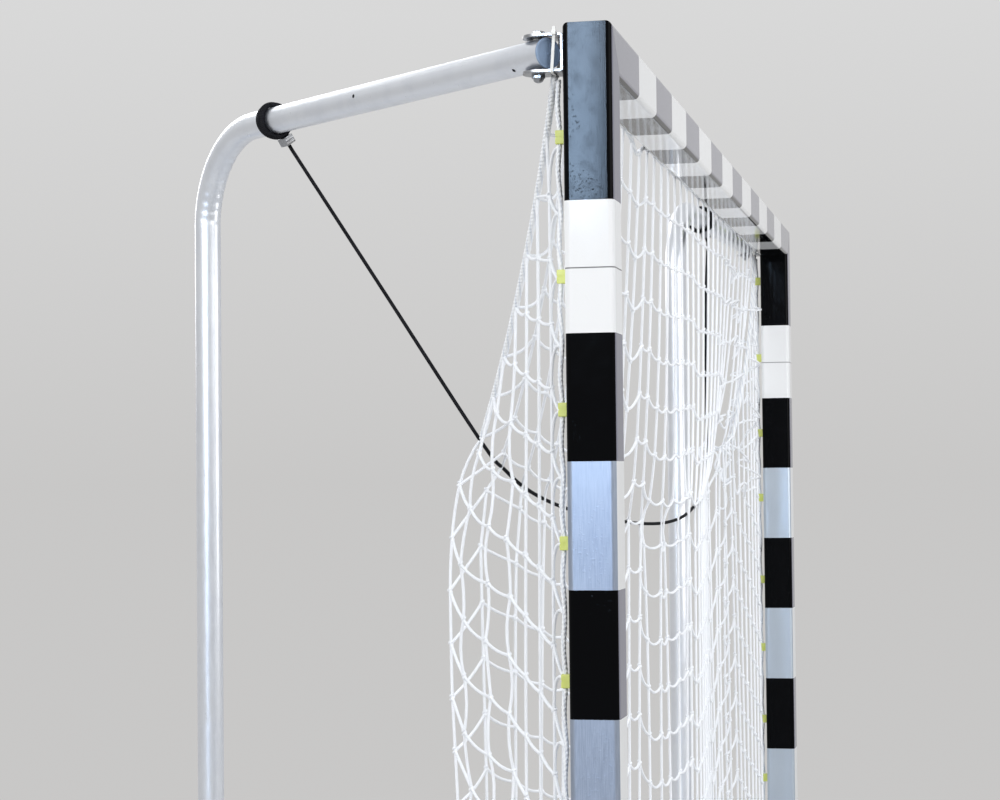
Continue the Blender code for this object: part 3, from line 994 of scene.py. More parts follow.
@dataclass(frozen=True)
class BandedFilm:
    """Printed film bands on an anodised aluminium bar."""

    run: Run
    front_y: float
    top: float
    reach: float
    gloss: float = 0.06
    smooth: float = 0.08
    corner: float = 0.280
    band: float = 0.200
    head_band: float = 0.208
    seam: float = 0.386
    black: Color = (0.0012, 0.0014, 0.0020)
    # Painted sheen: the black film's front faces are painted mauve-grey instead of black.
    painted_front_sheen_black: Color = (0.200, 0.200, 0.245)
    white: Color = (0.84, 0.85, 0.86)
    silver: Color = (0.33, 0.38, 0.47)
    bright: Color = (0.41, 0.46, 0.55)
    worn: Color = (0.26, 0.31, 0.41)
    # Painted reflection: the right post's bare metal is painted paler than the left post's.
    pale: Color = (0.63, 0.71, 0.78)
    painted_reflection_share: float = 0.6
    # Painted sheen: the bare metal's front faces are painted a pale, flat grey.
    painted_front_sheen_metal: Color = (0.80, 0.80, 0.79)
    line: Color = (0.05, 0.05, 0.055)

    def make(self) -> bpy.types.Material:
        """Builds the material.

        Returns:
            The material.
        """
        board = Board(f"banded_film_{self.run.value}")
        place = board.place()
        x, y, z = board.axes(place)
        if self.run is Run.UPRIGHT:
            black, white, edge = self.upright(z)
            grain = board.stretched(place, (60.0, 60.0, 3.0))
        else:
            black, white, edge = self.across(x)
            grain = board.stretched(place, (3.0, 60.0, 60.0))
        scratch = board.noise(grain, 9.0, 4.0, 0.65)
        fine = board.noise(place, 38.0, 4.0, 0.6)
        blotch = board.noise(place, 5.0, 2.0, 0.5)
        drops = board.noise(place, 210.0, 1.0, 0.4).ease(0.63, 0.67) * (blotch > 0.48) * 3.0
        metal = board.mix(scratch.span(0.35, 0.65, 0.0, 1.0), self.silver, self.bright)
        metal = board.mix(blotch.span(0.3, 0.7, 0.0, 0.5), metal, self.worn)
        # Painted reflection: the right post (x > 0) gets the paler metal.
        if self.run is Run.UPRIGHT:
            metal = board.mix((x > 0) * self.painted_reflection_share, metal, self.pale)
        # The front faces get painted sheen: pale grey over the metal, mauve-grey over the black film.
        front = y < self.front_y + 0.0012
        metal = board.mix(front * 0.9, metal, self.painted_front_sheen_metal)
        base = board.mix(white, metal, self.white)
        base = board.mix(black, base, board.mix(front, self.black, self.painted_front_sheen_black))
        mitre = abs((self.reach - abs(x)) - (self.top - z)).ease(0.0012, 0.0006) * front
        base = board.mix(edge * 0.8 + mitre * 0.7, base, self.line)
        film = black.high(white)
        dust = fine.span(0.45, 0.75, 0.0, 0.05)
        rough = film * (self.smooth + dust) + (1 - film) * scratch.span(0.3, 0.7, 0.30, 0.42)
        # The front faces are not metallic, so that their painted sheen shows as painted.
        return board.dress(
            Base_Color=base,
            Roughness=rough,
            Metallic=(1 - film) * (1 - front) * 0.85,
            Specular_IOR_Level=self.gloss,
            Normal=board.relief(scratch * 0.3 + fine * 0.2 + drops, 0.12, 0.0004),
        )

    def upright(self, z: Shade) -> tuple[Shade, Shade, Shade]:
        """The bands of a post.

        Args:
            z: The height.

        Returns:
            The shares of black, of white, and of the thin dark line between two strips of white.
        """
        down = self.top - z
        head = down < self.corner
        low_start = self.corner + self.head_band
        white = (down > self.corner) * (down < low_start)
        low = down > low_start
        cycle = (down - low_start) % (2 * self.band)
        black = head + low * (cycle < self.band)
        return black, white, abs(down - self.seam).ease(0.0014, 0.0006) * white

    def across(self, x: Shade) -> tuple[Shade, Shade, Shade]:
        """The bands of the crossbar.

        Args:
            x: The place across the mouth.

        Returns:
            The shares of black, of the paler bands, and of a thin line, which is nowhere.
        """
        way = self.reach - abs(x)
        corner = way < self.corner
        cycle = (way - self.corner) % (2 * self.band)
        light = (1 - corner) * (cycle < self.band)
        return 1 - light, light, 0 * light


@dataclass(frozen=True)
class DrawnMetal:
    """A drawn or plated metal with streaks along one axis, blotches and wear."""

    name: str
    color: Color
    dull: Color
    roughness: tuple[float, float]
    streaks: Point
    blotch_scale: float = 14.0
    dull_share: float = 0.6
    bump: float = 0.1

    def make(self) -> bpy.types.Material:
        """Builds the material.

        Returns:
            The material.
        """
        board = Board(self.name)
        place = board.place()
        streak = board.noise(board.stretched(place, self.streaks), 6.0, 5.0, 0.6)
        blotch = board.noise(place, self.blotch_scale, 4.0, 0.6)
        wear = blotch.ease(0.42, 0.66) * self.dull_share
        base = board.mix(wear, self.color, self.dull)
        base = board.mix(streak.ease(0.62, 0.8) * 0.5, base, (0.88, 0.89, 0.9))
        rough = streak.span(0.3, 0.7, self.roughness[0], self.roughness[1]) + wear * 0.12
        normal = board.relief(streak * 0.6 + blotch * 0.4, self.bump, 0.0004)
        return board.dress(Base_Color=base, Roughness=rough, Metallic=1.0, Normal=normal)


@dataclass(frozen=True)
class MouldedPlastic:
    """A moulded plastic with a fine grain and slight colour variation."""

    name: str
    color: Color
    shade: Color
    roughness: float = 0.42
    grain: float = 900.0

    def make(self) -> bpy.types.Material:
        """Builds the material.

        Returns:
            The material.
        """
        board = Board(self.name)
        place = board.place()
        grain = board.noise(place, self.grain, 2.0, 0.5)
        cloud = board.noise(place, 45.0, 3.0, 0.55)
        base = board.mix(cloud.span(0.3, 0.7, 0.0, 1.0), self.color, self.shade)
        rough = cloud.span(0.3, 0.7, self.roughness - 0.06, self.roughness + 0.1)
        normal = board.relief(grain, 0.15, 0.0002)
        return board.dress(Base_Color=base, Roughness=rough, Normal=normal)


@dataclass(frozen=True)
class BraidedCord:
    """A braided sheath: two families of strands that cross on the piece's own map, their crests painted
    lighter as painted highlight.
    """

    name: str
    color: Color
    painted_crest_highlight: Color
    strands: int = 8
    pitch: float = 0.006
    bump: float = 0.6

    def make(self) -> bpy.types.Material:
        """Builds the material.

        Returns:
            The material.
        """
        board = Board(self.name)
        u, v, _ = board.axes(board.along())
        wave = 2 * math.pi
        one = ((u * self.strands + v / self.pitch) * wave).sine()
        two = ((u * self.strands - v / self.pitch) * wave).sine()
        weave = (one * two).span(-1.0, 1.0, 0.0, 1.0)
        dust = board.noise(board.place(), 120.0, 3.0, 0.6)
        # Painted highlight: the braid's crests are painted lighter than the black cord.
        share = weave * dust.span(0.3, 0.7, 0.3, 1.0)
        base = board.mix(share, self.color, self.painted_crest_highlight)
        rough = dust.span(0.3, 0.7, 0.55, 0.8)
        normal = board.relief(weave, self.bump, 0.0006)
        return board.dress(Base_Color=base, Roughness=rough, Specular_IOR_Level=0.06, Normal=normal)


@dataclass(frozen=True)
class TwistedCord:
    """A laid cord: its strands wind round it on the piece's own map, with painted shade in the grooves
    between them.
    """

    name: str
    color: Color
    shade: Color
    strands: int = 3
    pitch: float = 0.012
    bump: float = 0.8
    depth: float = 0.0007

    def make(self) -> bpy.types.Material:
        """Builds the material.

        Returns:
            The material.
        """
        board = Board(self.name)
        u, v, _ = board.axes(board.along())
        wave = 2 * math.pi
        lay = ((u * self.strands + v / self.pitch * self.strands) * wave).sine()
        lay = lay.span(-1.0, 1.0, 0.0, 1.0)
        fibre = board.noise(board.place(), 700.0, 2.0, 0.6)
        soil = board.noise(board.place(), 9.0, 3.0, 0.6)
        # Painted shade: the grooves between the strands take the darker shade colour.
        base = board.mix(lay.ease(0.0, 0.45), self.shade, self.color)
        base = board.mix(soil.ease(0.5, 0.8) * 0.15, base, (0.72, 0.72, 0.70))
        rough = fibre.span(0.3, 0.7, 0.62, 0.85)
        normal = board.relief(lay * 0.8 + fibre * 0.2, self.bump, self.depth)
        return board.dress(Base_Color=base, Roughness=rough, Normal=normal)


class Paint:
    """All the finishes of the goal, made once."""

    def __init__(self, lines: GoalLines) -> None:
        """Makes the materials.

        Args:
            lines: The goal's lines.
        """
        reach = lines.mouth_width / 2 + lines.section
        front = lines.line_y - lines.half
        self.upright = BandedFilm(Run.UPRIGHT, front, lines.top, reach).make()
        across = BandedFilm(Run.ACROSS, front, lines.top, reach, gloss=0.45, smooth=0.07)
        self.across = across.make()
        self.aluminium = DrawnMetal(
            "mill_aluminium", (0.66, 0.68, 0.71), (0.45, 0.46, 0.48), (0.32, 0.5), (40, 40, 4)
        ).make()
        self.bow = DrawnMetal(
            "weathered_tube",
            (0.82, 0.85, 0.90),
            (0.68, 0.71, 0.77),
            (0.27, 0.36),
            (26, 26, 5),
            dull_share=0.4,
            bump=0.02,
        ).make()
        self.zinc = DrawnMetal(
            "zinc_plate",
            (0.36, 0.37, 0.39),
            (0.20, 0.19, 0.18),
            (0.22, 0.40),
            (60, 60, 60),
            blotch_scale=60.0,
        ).make()
        self.grey = MouldedPlastic("grey_cap", (0.26, 0.36, 0.52), (0.21, 0.29, 0.42), 0.38).make()
        self.black = MouldedPlastic("black_foot", (0.016, 0.016, 0.017), (0.03, 0.03, 0.03)).make()
        self.nylon = MouldedPlastic("white_tie", (0.82, 0.82, 0.79), (0.74, 0.74, 0.71)).make()
        self.clip = MouldedPlastic("green_clip", (0.74, 0.80, 0.22), (0.64, 0.71, 0.16)).make()
        # The elastic's second colour is the painted highlight on its braid's crests.
        self.elastic = BraidedCord("black_elastic", (0.002, 0.002, 0.003), (0.035, 0.036, 0.042)).make()
        # The twine's and the rope's second colours are painted shade for the grooves between their
        # strands.
        self.net = TwistedCord("net_twine", (0.94, 0.96, 0.99), (0.80, 0.83, 0.88), bump=0.5).make()
        self.rope = TwistedCord(
            "edge_rope_lay", (0.95, 0.97, 0.99), (0.76, 0.80, 0.86), 3, 0.020, 0.6, 0.0006
        ).make()


def declare_cord(radius: float) -> None:
    """Works out twice the radius of a limp cord that hangs between two places on the goal, and keeps
    nothing.

    Args:
        radius: Its radius.
    """
    2 * radius


def hand_over(
    obj: bpy.types.Object,
    finish: bpy.types.Material,
    body: str | None,
    slot: str,
    *nodes: str,
) -> bpy.types.Object:
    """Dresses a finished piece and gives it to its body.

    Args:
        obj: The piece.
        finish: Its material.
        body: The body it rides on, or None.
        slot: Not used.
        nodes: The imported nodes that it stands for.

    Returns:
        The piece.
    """
    obj.data.materials.clear()
    obj.data.materials.append(finish)
    if body:
        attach(obj, body)
    if nodes:
        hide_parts(*nodes)
    log.info("%s: %d faces", obj.name, len(obj.data.polygons))
    return obj


# Bars


@dataclass
class BarFrame:
    """The crossbar, the posts and their heads: one grooved box section."""

    lines: GoalLines
    paint: Paint
    head_length: float = 0.386
    groove_mouth: float = 0.008
    groove_width: float = 0.014
    groove_depth: float = 0.009
    groove_lip: float = 0.002
    foot_flange: float = 0.005
    gap: float = 0.0003
    edge_segments: int = 7

    def build(self) -> None:
        """Makes the bars and hides the nodes that they stand for."""
        self.crossbar()
        for side in Side:
            joint = self.lines.top - self.head_length
            self.upright(side, "post", self.foot_flange + self.gap, joint - self.gap)
            self.upright(side, "post_head", joint, self.lines.top)

    def bar(
        self, name: str, low: Vector, high: Vector, axis: int, groove: Vector
    ) -> bpy.types.Object:
        """A rounded bar with the clips' groove in its rear face.

        Args:
            name: The piece's name.
            low: Its lowest corner.
            high: Its highest corner.
            axis: The axis it runs along, 0 or 2.
            groove: A point on the groove's middle line, on the rear face.

        Returns:
            The bar.
        """
        obj = Bench.block(name, low, high)
        radius = self.lines.edge_radius
        Bench.bevel(obj, lambda edge: runs_along(edge, axis, 0.1), radius, self.edge_segments)
        other = 2 - axis
        for half, near, far in (
            (self.groove_mouth / 2, -0.01, self.groove_lip + 0.001),
            (self.groove_width / 2, self.groove_lip, self.groove_depth),
        ):
            start, end = low.copy(), high.copy()
            start[axis] -= 0.01
            end[axis] += 0.01
            start[other], end[other] = groove[other] - half, groove[other] + half
            start.y, end.y = high.y - far, high.y - near
            Bench.cut(obj, Bench.block("groove", start, end))
        return obj

    def crossbar(self) -> None:
        """The crossbar, mitred at both ends."""
        line = self.lines
        reach = line.mouth_width / 2 + line.section
        low = line.at(-reach, -line.half, line.mouth_height)
        high = line.at(reach, line.half, line.top)
        groove = line.at(0, line.half, line.groove_height)
        obj = self.bar("crossbar_bar", low, high, 0, groove)
        for side in Side:
            corner = line.at(side.sign * line.post_x, 0, line.mouth_height + line.half)
            normal = Vector((side.sign, 0, -1)).normalized()
            Bench.bisect(obj, corner - normal * self.gap / 2, normal)
        Bench.soften(obj)
        hand_over(obj, self.paint.across, "frame", "banded", "crossbar")

    def upright(self, side: Side, part: str, bottom: float, top: float) -> None:
        """A post or its mitred head.

        Args:
            side: The side.
            part: The node's name without its side.
            bottom: Its lowest height.
            top: Its highest height.
        """
        line = self.lines
        x = side.sign * line.post_x
        low = line.at(x - line.half, -line.half, bottom)
        high = line.at(x + line.half, line.half, top)
        name = f"{side.value}_{part}"
        obj = self.bar(f"{name}_bar", low, high, 2, line.at(x, line.half, bottom))
        if part == "post_head":
            corner = line.at(x, 0, line.mouth_height + line.half)
            normal = Vector((-side.sign, 0, 1)).normalized()
            Bench.bisect(obj, corner - normal * self.gap / 2, normal)
        Bench.soften(obj)
        hand_over(obj, self.paint.upright, "frame", "banded", name)


# Bows


def slope_deg(y: float, z: float) -> float:
    """The angle of a direction above the level."""
    return math.degrees(math.atan2(z, y))


@dataclass
class NetBow:
    """One swinging bow's tube, with two bends, small ripples in the upper one and drilled holes."""

    lines: GoalLines
    paint: Paint
    side: Side
    wall: float = 0.0025
    sides: int = 40
    bend_steps: int = 60
    ripple_depth: float = 0.0011
    ripples_deg: tuple[float, ...] = (4.0, 10.5, 17.0, 24.0, 31.0, 38.5, 46.0, 54.0)
    hole_radius: float = 0.0034
    holes: tuple[tuple[float, float], ...] = ((0.491, 4.0), (0.043, -50.0))

    def build(self) -> None:
        """Makes the tube, spun round its two bends, with a wall."""
        line = self.lines
        reach, bend = line.bow_reach, line.bow_bend
        high, low = line.bow_top, line.bow_low
        obj = Bench.ring(f"{self.side.bow}_tube_bent", line.bow_radius, self.sides, (0, 0, 0))
        turn = Matrix.Rotation(math.radians(-90), 4, "X")
        obj.data.transform(Matrix.Translation((0, -line.bow_tail, high)) @ turn)
        Bench.select(obj, "VERT", lambda vert: True)
        self.draw((0, reach - bend + line.bow_tail, 0))
        self.turn((0, reach - bend, high - bend))
        self.draw((0, 0, low + bend - (high - bend)))
        self.turn((0, reach - bend, low + bend))
        self.draw((0, -(reach - bend + line.bow_tail), 0))
        Bench.clear()
        Bench.outward(obj)
        self.ripple(obj)
        wall = obj.modifiers.new("wall", "SOLIDIFY")
        wall.thickness = self.wall
        wall.offset = -1
        Bench.apply(obj)
        for reach, lean in self.holes:
            drill = Bench.rod("drill", self.hole_radius, 0.0, 0.06, 20)
            tip = Matrix.Rotation(self.side.sign * math.radians(90 - lean), 4, "Y")
            Bench.move(drill, Matrix.Translation((0, reach, high)) @ tip)
            Bench.cut(obj, drill)
        Bench.soften(obj, 40)
        Bench.move(obj, line.hinge(self.side))
        hand_over(obj, self.paint.bow, self.side.bow, "bow_aluminium", f"{self.side.bow}_tube")

    def ripple(self, obj: bpy.types.Object) -> None:
        """Presses the small ripples into the inner side of the upper bend.

        Args:
            obj: The tube's skin.
        """
        line = self.lines
        y, z = line.bow_reach - line.bow_bend, line.bow_top - line.bow_bend
        inner = line.bow_bend - 0.45 * line.bow_radius
        for middle in self.ripples_deg:
            turn = math.radians(middle)
            for spread in (2.4, 1.0):
                Bench.select(
                    obj,
                    "VERT",
                    lambda vert: math.hypot(vert.co.y - y, vert.co.z - z) < inner
                    and abs(slope_deg(vert.co.y - y, vert.co.z - z) - middle) < spread,
                )
                push = self.ripple_depth / 2
                way = (0, push * math.cos(turn), push * math.sin(turn))
                bpy.ops.transform.translate(value=way)
                Bench.clear()

    def draw(self, way: Point) -> None:
        """Extrudes the selected end straight on."""
        bpy.ops.mesh.extrude_region_move(TRANSFORM_OT_translate={"value": way})

    def turn(self, middle: Point) -> None:
        """Spins the selected end through a quarter turn about a bend's middle."""
        quarter = math.radians(90)
        bpy.ops.mesh.spin(steps=self.bend_steps, angle=quarter, center=middle, axis=(1, 0, 0))


# The elastic cord


@dataclass
class ElasticCord:
    """The elastic cord between the clamps, in two halves that end at the bows' clamps."""

    lines: GoalLines
    paint: Paint
    radius: float = 0.0035
    lead: float = 0.012
    gap: float = 0.0003
    route: tuple[Point, ...] = (
        (-0.9998, 0.4847, 1.7119),
        (-1.0000, 0.3070, 1.4380),
        (-0.9300, 0.2758, 1.3828),
        (-0.8500, 0.2470, 1.3440),
        (-0.7350, 0.2096, 1.3131),
        (-0.5400, 0.1690, 1.2882),
        (-0.3900, 0.1466, 1.2771),
        (-0.2500, 0.1254, 1.2692),
        (-0.1550, 0.0949, 1.2679),
        (-0.0600, 0.0737, 1.2747),
        (0.0400, 0.0651, 1.2862),
        (0.1400, 0.0629, 1.3006),
        (0.3000, 0.0715, 1.3139),
        (0.5000, 0.0893, 1.3303),
        (0.6800, 0.1056, 1.3531),
        (0.8000, 0.1160, 1.3851),
        (0.8600, 0.1212, 1.4321),
        (0.8750, 0.1230, 1.5157),
        (0.8640, 0.1208, 1.6461),
        (0.8560, 0.1185, 1.8204),
    )
    blend_top: float = 1.95
    blend_low: float = 1.44

    def path(self, count: int = 420) -> np.ndarray:
        """The cord's whole line from the left clamp to the right one, in the frame.

        Args:
            count: How many points to give back.

        Returns:
            The points.
        """
        line = self.lines
        ends = [line.below_clamp(side, self.lead) for side in Side]
        middle = [line.at(*point) for point in self.route]
        free = smooth_line(np.array([ends[0], *middle, ends[1]]), count - 2)
        first, last = (line.below_clamp(side, self.gap) for side in Side)
        return np.vstack([first, free, last])

    def build(self) -> np.ndarray:
        """Returns:
            The cord's whole line.
        """
        whole = self.path()
        middle = int(np.argmin(np.abs(whole[:, 0])))
        strand = Strand(self.radius, 10)
        for side in Side:
            part = whole[: middle + 1] if side is Side.LEFT else whole[middle:][::-1]
            obj = cord_object(f"elastic_cord_{side.value}", part, strand)
            hand_over(obj, self.paint.elastic, None, "black_cord", "elastic_cord")
            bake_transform(obj)
            declare_cord(self.radius)
        return whole


# Hinges


@dataclass
class Hinge:
    """One clevis bracket with its bolt and dome nut, round the bow's end at one level."""

    lines: GoalLines
    paint: Paint
    side: Side
    arm: Arm
    plate: float = 0.005
    width: float = 0.050
    bend: float = 0.006
    inside: float = 0.052
    bolt_radius: float = 0.006
    across: float = 0.019
    head: float = 0.007
    nut: float = 0.006
    dome: float = 0.0065
    washer: float = 0.0012
    gap: float = 0.0003

    @property
    def height(self) -> float:
        """The height of the bow's arm."""
        return self.lines.arm_height(self.arm)

    @property
    def place(self) -> Matrix:
        """The lines of the hinge: its axis is z, and its arm's middle is at the origin."""
        line = self.lines
        return Matrix.Translation(line.at(self.side.sign * line.post_x, line.hinge_y, self.height))

    def build(self) -> None:
        """Makes the bracket, the bolt and the nut."""
        name = f"{self.side.value}_{self.arm.value}"
        for part, ending, make in (
            ("bracket", "bent", self.bracket),
            ("bolt", "cut", self.bolt),
            ("nut", "cut", self.dome_nut),
        ):
            obj = make()
            obj.name = obj.data.name = f"{name}_{part}_{ending}"
            Bench.soften(obj)
            Bench.move(obj, self.place)
            hand_over(obj, self.paint.zinc, "frame", "zinc", f"{name}_{part}")

    def bracket(self) -> bpy.types.Object:
        """The bent plate, with its round noses and the bolt's holes.

        Returns:
            The bracket.
        """
        half, face = self.width / 2, self.inside / 2 + self.plate
        back = -self.lines.hinge_setback + self.gap
        obj = Bench.block("bracket", (-half, back, -face), (half, half, face))
        Bench.bevel(
            obj,
            lambda edge: all(vert.co.y < back + 1e-4 for vert in edge.verts)
            and runs_along(edge, 0, 0.01),
            self.bend,
            5,
        )
        far = REACH_THROUGH
        nose = Bench.rod("nose", half, -far, far, 48)
        Bench.cut(nose, Bench.block("arm", (-half, -far, -far), (half, 0, far)), "UNION")
        Bench.cut(obj, nose, "INTERSECT")
        inside = self.inside / 2
        Bench.cut(obj, Bench.block("room", (-far, back + self.plate, -inside), (far, far, inside)))
        Bench.cut(obj, Bench.rod("hole", self.bolt_radius + self.gap, -far, far, 32))
        Bench.bevel(obj, lambda edge: sharp(edge, 60), 0.0007, 2)
        return obj

    def bolt(self) -> bpy.types.Object:
        """The hexagon bolt with its washer.

        Returns:
            The bolt.
        """
        face = self.inside / 2 + self.plate + self.gap
        corner = self.across / math.sqrt(3)
        low = face + self.washer
        top = low + self.head - self.washer
        head = Bench.rod("head", corner, low, top, 6)
        Bench.bevel(head, lambda edge: flat_ring(edge, top), 0.0011, 2)
        washer = Bench.rod("washer", corner * 1.02, face, low, 32)
        Bench.bevel(washer, lambda edge: flat_ring(edge, low), 0.0004, 2)
        shank = Bench.rod("shank", self.bolt_radius, -face - self.nut, low + 0.001, 28)
        Bench.bevel(shank, lambda edge: flat_ring(edge, -face - self.nut), 0.0008, 2)
        return Bench.join("bolt", [head, washer, shank])

    def dome_nut(self) -> bpy.types.Object:
        """The dome nut under the lower tab.

        Returns:
            The nut.
        """
        top = -self.inside / 2 - self.plate - self.gap
        corner = self.across / math.sqrt(3)
        hexagon = Bench.rod("nut", corner, top - self.nut, top, 6)
        Bench.bevel(hexagon, lambda edge: flat_ring(edge, top - self.nut), 0.0010, 2)
        low = top - self.nut - self.dome
        dome = Bench.rod("dome", self.across / 2 - 0.0006, low, top - self.nut + 0.001, 32)
        Bench.bevel(dome, lambda edge: flat_ring(edge, low), 0.0074, 7)
        return Bench.join("nut", [hexagon, dome])


# Loops, clamps, caps and glides


@dataclass
class BowFittings:
    """What a bow carries: its end plugs, its glide, and the loop and clamp of the cord."""

    lines: GoalLines
    paint: Paint
    side: Side
    wall: float = 0.0025
    rim: float = 0.003
    insert: float = 0.012
    glide_inset: float = 0.210
    glide_radius: float = 0.022
    loop_lean: float = 0.007
    clamp_deep: float = 0.027
    gap: float = 0.0003

    def build(self) -> None:
        """Makes them all."""
        line = self.lines
        plug = self.plug()
        for arm in Arm:
            name = f"{self.side.value}_{arm.value}_tube_plug"
            turn = Matrix.Rotation(math.radians(90), 4, "X")
            place = Matrix.Translation((0, -line.bow_tail, line.arm_height(arm))) @ turn
            twin = Bench.copy(plug, f"{name}_cap", line.hinge(self.side) @ place)
            hand_over(twin, self.paint.grey, self.side.bow, "grey_plastic", name)
        bpy.data.objects.remove(plug)
        self.glide()
        self.loop()
        self.clamp()

    def plug(self) -> bpy.types.Object:
        """A cap with a rounded rim, a shallow dish with a gate mark, and a skirt in the bore.

        Returns:
            The cap, its disc level at the origin.
        """
        radius = self.lines.bow_radius
        obj = Bench.rod("plug", radius, self.gap, self.rim, 56)
        Bench.bevel(obj, lambda edge: flat_ring(edge, self.rim), 0.0013, 4)
        for inset, drop in ((0.0030, -0.0009), (0.0150, 0.0), (0.0035, 0.0007)):
            Bench.select(obj, "FACE", lambda face: face.normal.z > 0.9 and len(face.verts) > 20)
            bpy.ops.mesh.inset(thickness=inset)
            if drop:
                bpy.ops.mesh.extrude_region_move(TRANSFORM_OT_translate={"value": (0, 0, drop)})
            Bench.clear()
        Bench.select(obj, "FACE", lambda face: face.normal.z < -0.9 and len(face.verts) > 20)
        bpy.ops.mesh.inset(thickness=self.wall + 0.0005)
        bpy.ops.mesh.extrude_region_move(TRANSFORM_OT_translate={"value": (0, 0, -self.insert)})
        Bench.clear()
        return Bench.soften(obj, 35)

    def glide(self) -> None:
        """The foot saddled under the lower arm."""
        line = self.lines
        obj = Bench.rod(f"{self.side.bow}_glide_cut", self.glide_radius, 0, line.bow_low, 48)
        Bench.bevel(obj, lambda edge: flat_ring(edge, 0), 0.003, 4)
        saddle = Bench.rod("saddle", line.bow_radius + self.gap, -0.05, 0.05, 48)
        turn = Matrix.Rotation(math.radians(90), 4, "X")
        Bench.move(saddle, Matrix.Translation((0, 0, line.bow_low)) @ turn)
        Bench.cut(obj, saddle)
        Bench.soften(obj)
        reach = line.bow_reach - self.glide_inset
        Bench.move(obj, line.hinge(self.side) @ Matrix.Translation((0, reach, 0)))
        hand_over(obj, self.paint.black, self.side.bow, "black_plastic", f"{self.side.bow}_glide")

    def loop(self) -> None:
        """The braided cord, three strands side by side round the arm, leaning a little."""
        line = self.lines
        radius = line.bow_radius + 0.0006 + line.loop_strand
        angle = np.linspace(-math.pi, math.pi, 97)
        parts = []
        for k in (-1.5, 0, 1.5):
            lean = self.loop_lean * (1 - np.cos(angle)) / 2
            wave = 0.0006 * np.sin(3 * angle + k)
            spread = 1.5 - 0.35 * np.exp(-((np.abs(angle) - math.pi) ** 2) / 0.2)
            along = k / 1.5 * spread * line.loop_strand + lean + wave
            wide = radius + (0.0016 if k == 0 else 0.0)
            path = np.stack([wide * np.sin(angle), along, -wide * np.cos(angle)], axis=1)
            parts.append(cord_object(f"strand_{k}", path, Strand(line.loop_strand, 14)))
        obj = Bench.join(f"{self.side.value}_cord_loop_braid", parts)
        Bench.move(obj, line.loop_seat(self.side))
        name = f"{self.side.value}_cord_loop"
        hand_over(obj, self.paint.elastic, self.side.bow, "black_cord", name)

    def clamp(self) -> None:
        """The crimped clamp that joins the loop and the cord."""
        line = self.lines
        across, _, tall = line.clamp_size
        deep = self.clamp_deep
        top = -line.clamp_drop
        obj = Bench.block("clamp", (-across / 2, -deep / 2, top - tall), (across / 2, deep / 2, top))
        Bench.bevel(obj, lambda edge: runs_along(edge, 2, 0.01), 0.0045, 5)
        for height in (0.3, 0.7):
            for way in (-1, 1):
                dent = Bench.rod("dent", 0.0045, -0.02, 0.02, 24)
                turn = Matrix.Rotation(math.radians(90), 4, "Y")
                middle = (0, way * (deep / 2 + 0.0032), top - tall * height)
                Bench.move(dent, Matrix.Translation(middle) @ turn)
                Bench.cut(obj, dent)
        Bench.cut(obj, Bench.rod("mouth", 0.0046, top - tall - 0.002, top - tall + 0.003, 24))
        Bench.bevel(obj, lambda edge: sharp(edge, 60), 0.0006, 2)
        Bench.soften(obj)
        Bench.move(obj, line.loop_seat(self.side))
        name = f"{self.side.value}_cord_clamp"
        obj.name = obj.data.name = f"{name}_crimped"
        hand_over(obj, self.paint.zinc, self.side.bow, "zinc", name)


# Edge ropes, clips and ties


def crossbar_droop(x: float) -> float:
    """How far the crossbar's edge rope hangs below its line: one slack bay and many small ones.

    Args:
        x: The place across the mouth.

    Returns:
        The drop.
    """
    small = BAY_DROP * abs(math.sin(math.pi * (x - FIRST_CLIP_X) / CLIP_SPACING))
    slack = SLACK_DROP * math.exp(-(((x - SLACK_X) / SLACK_WIDTH) ** 2))
    return small + slack


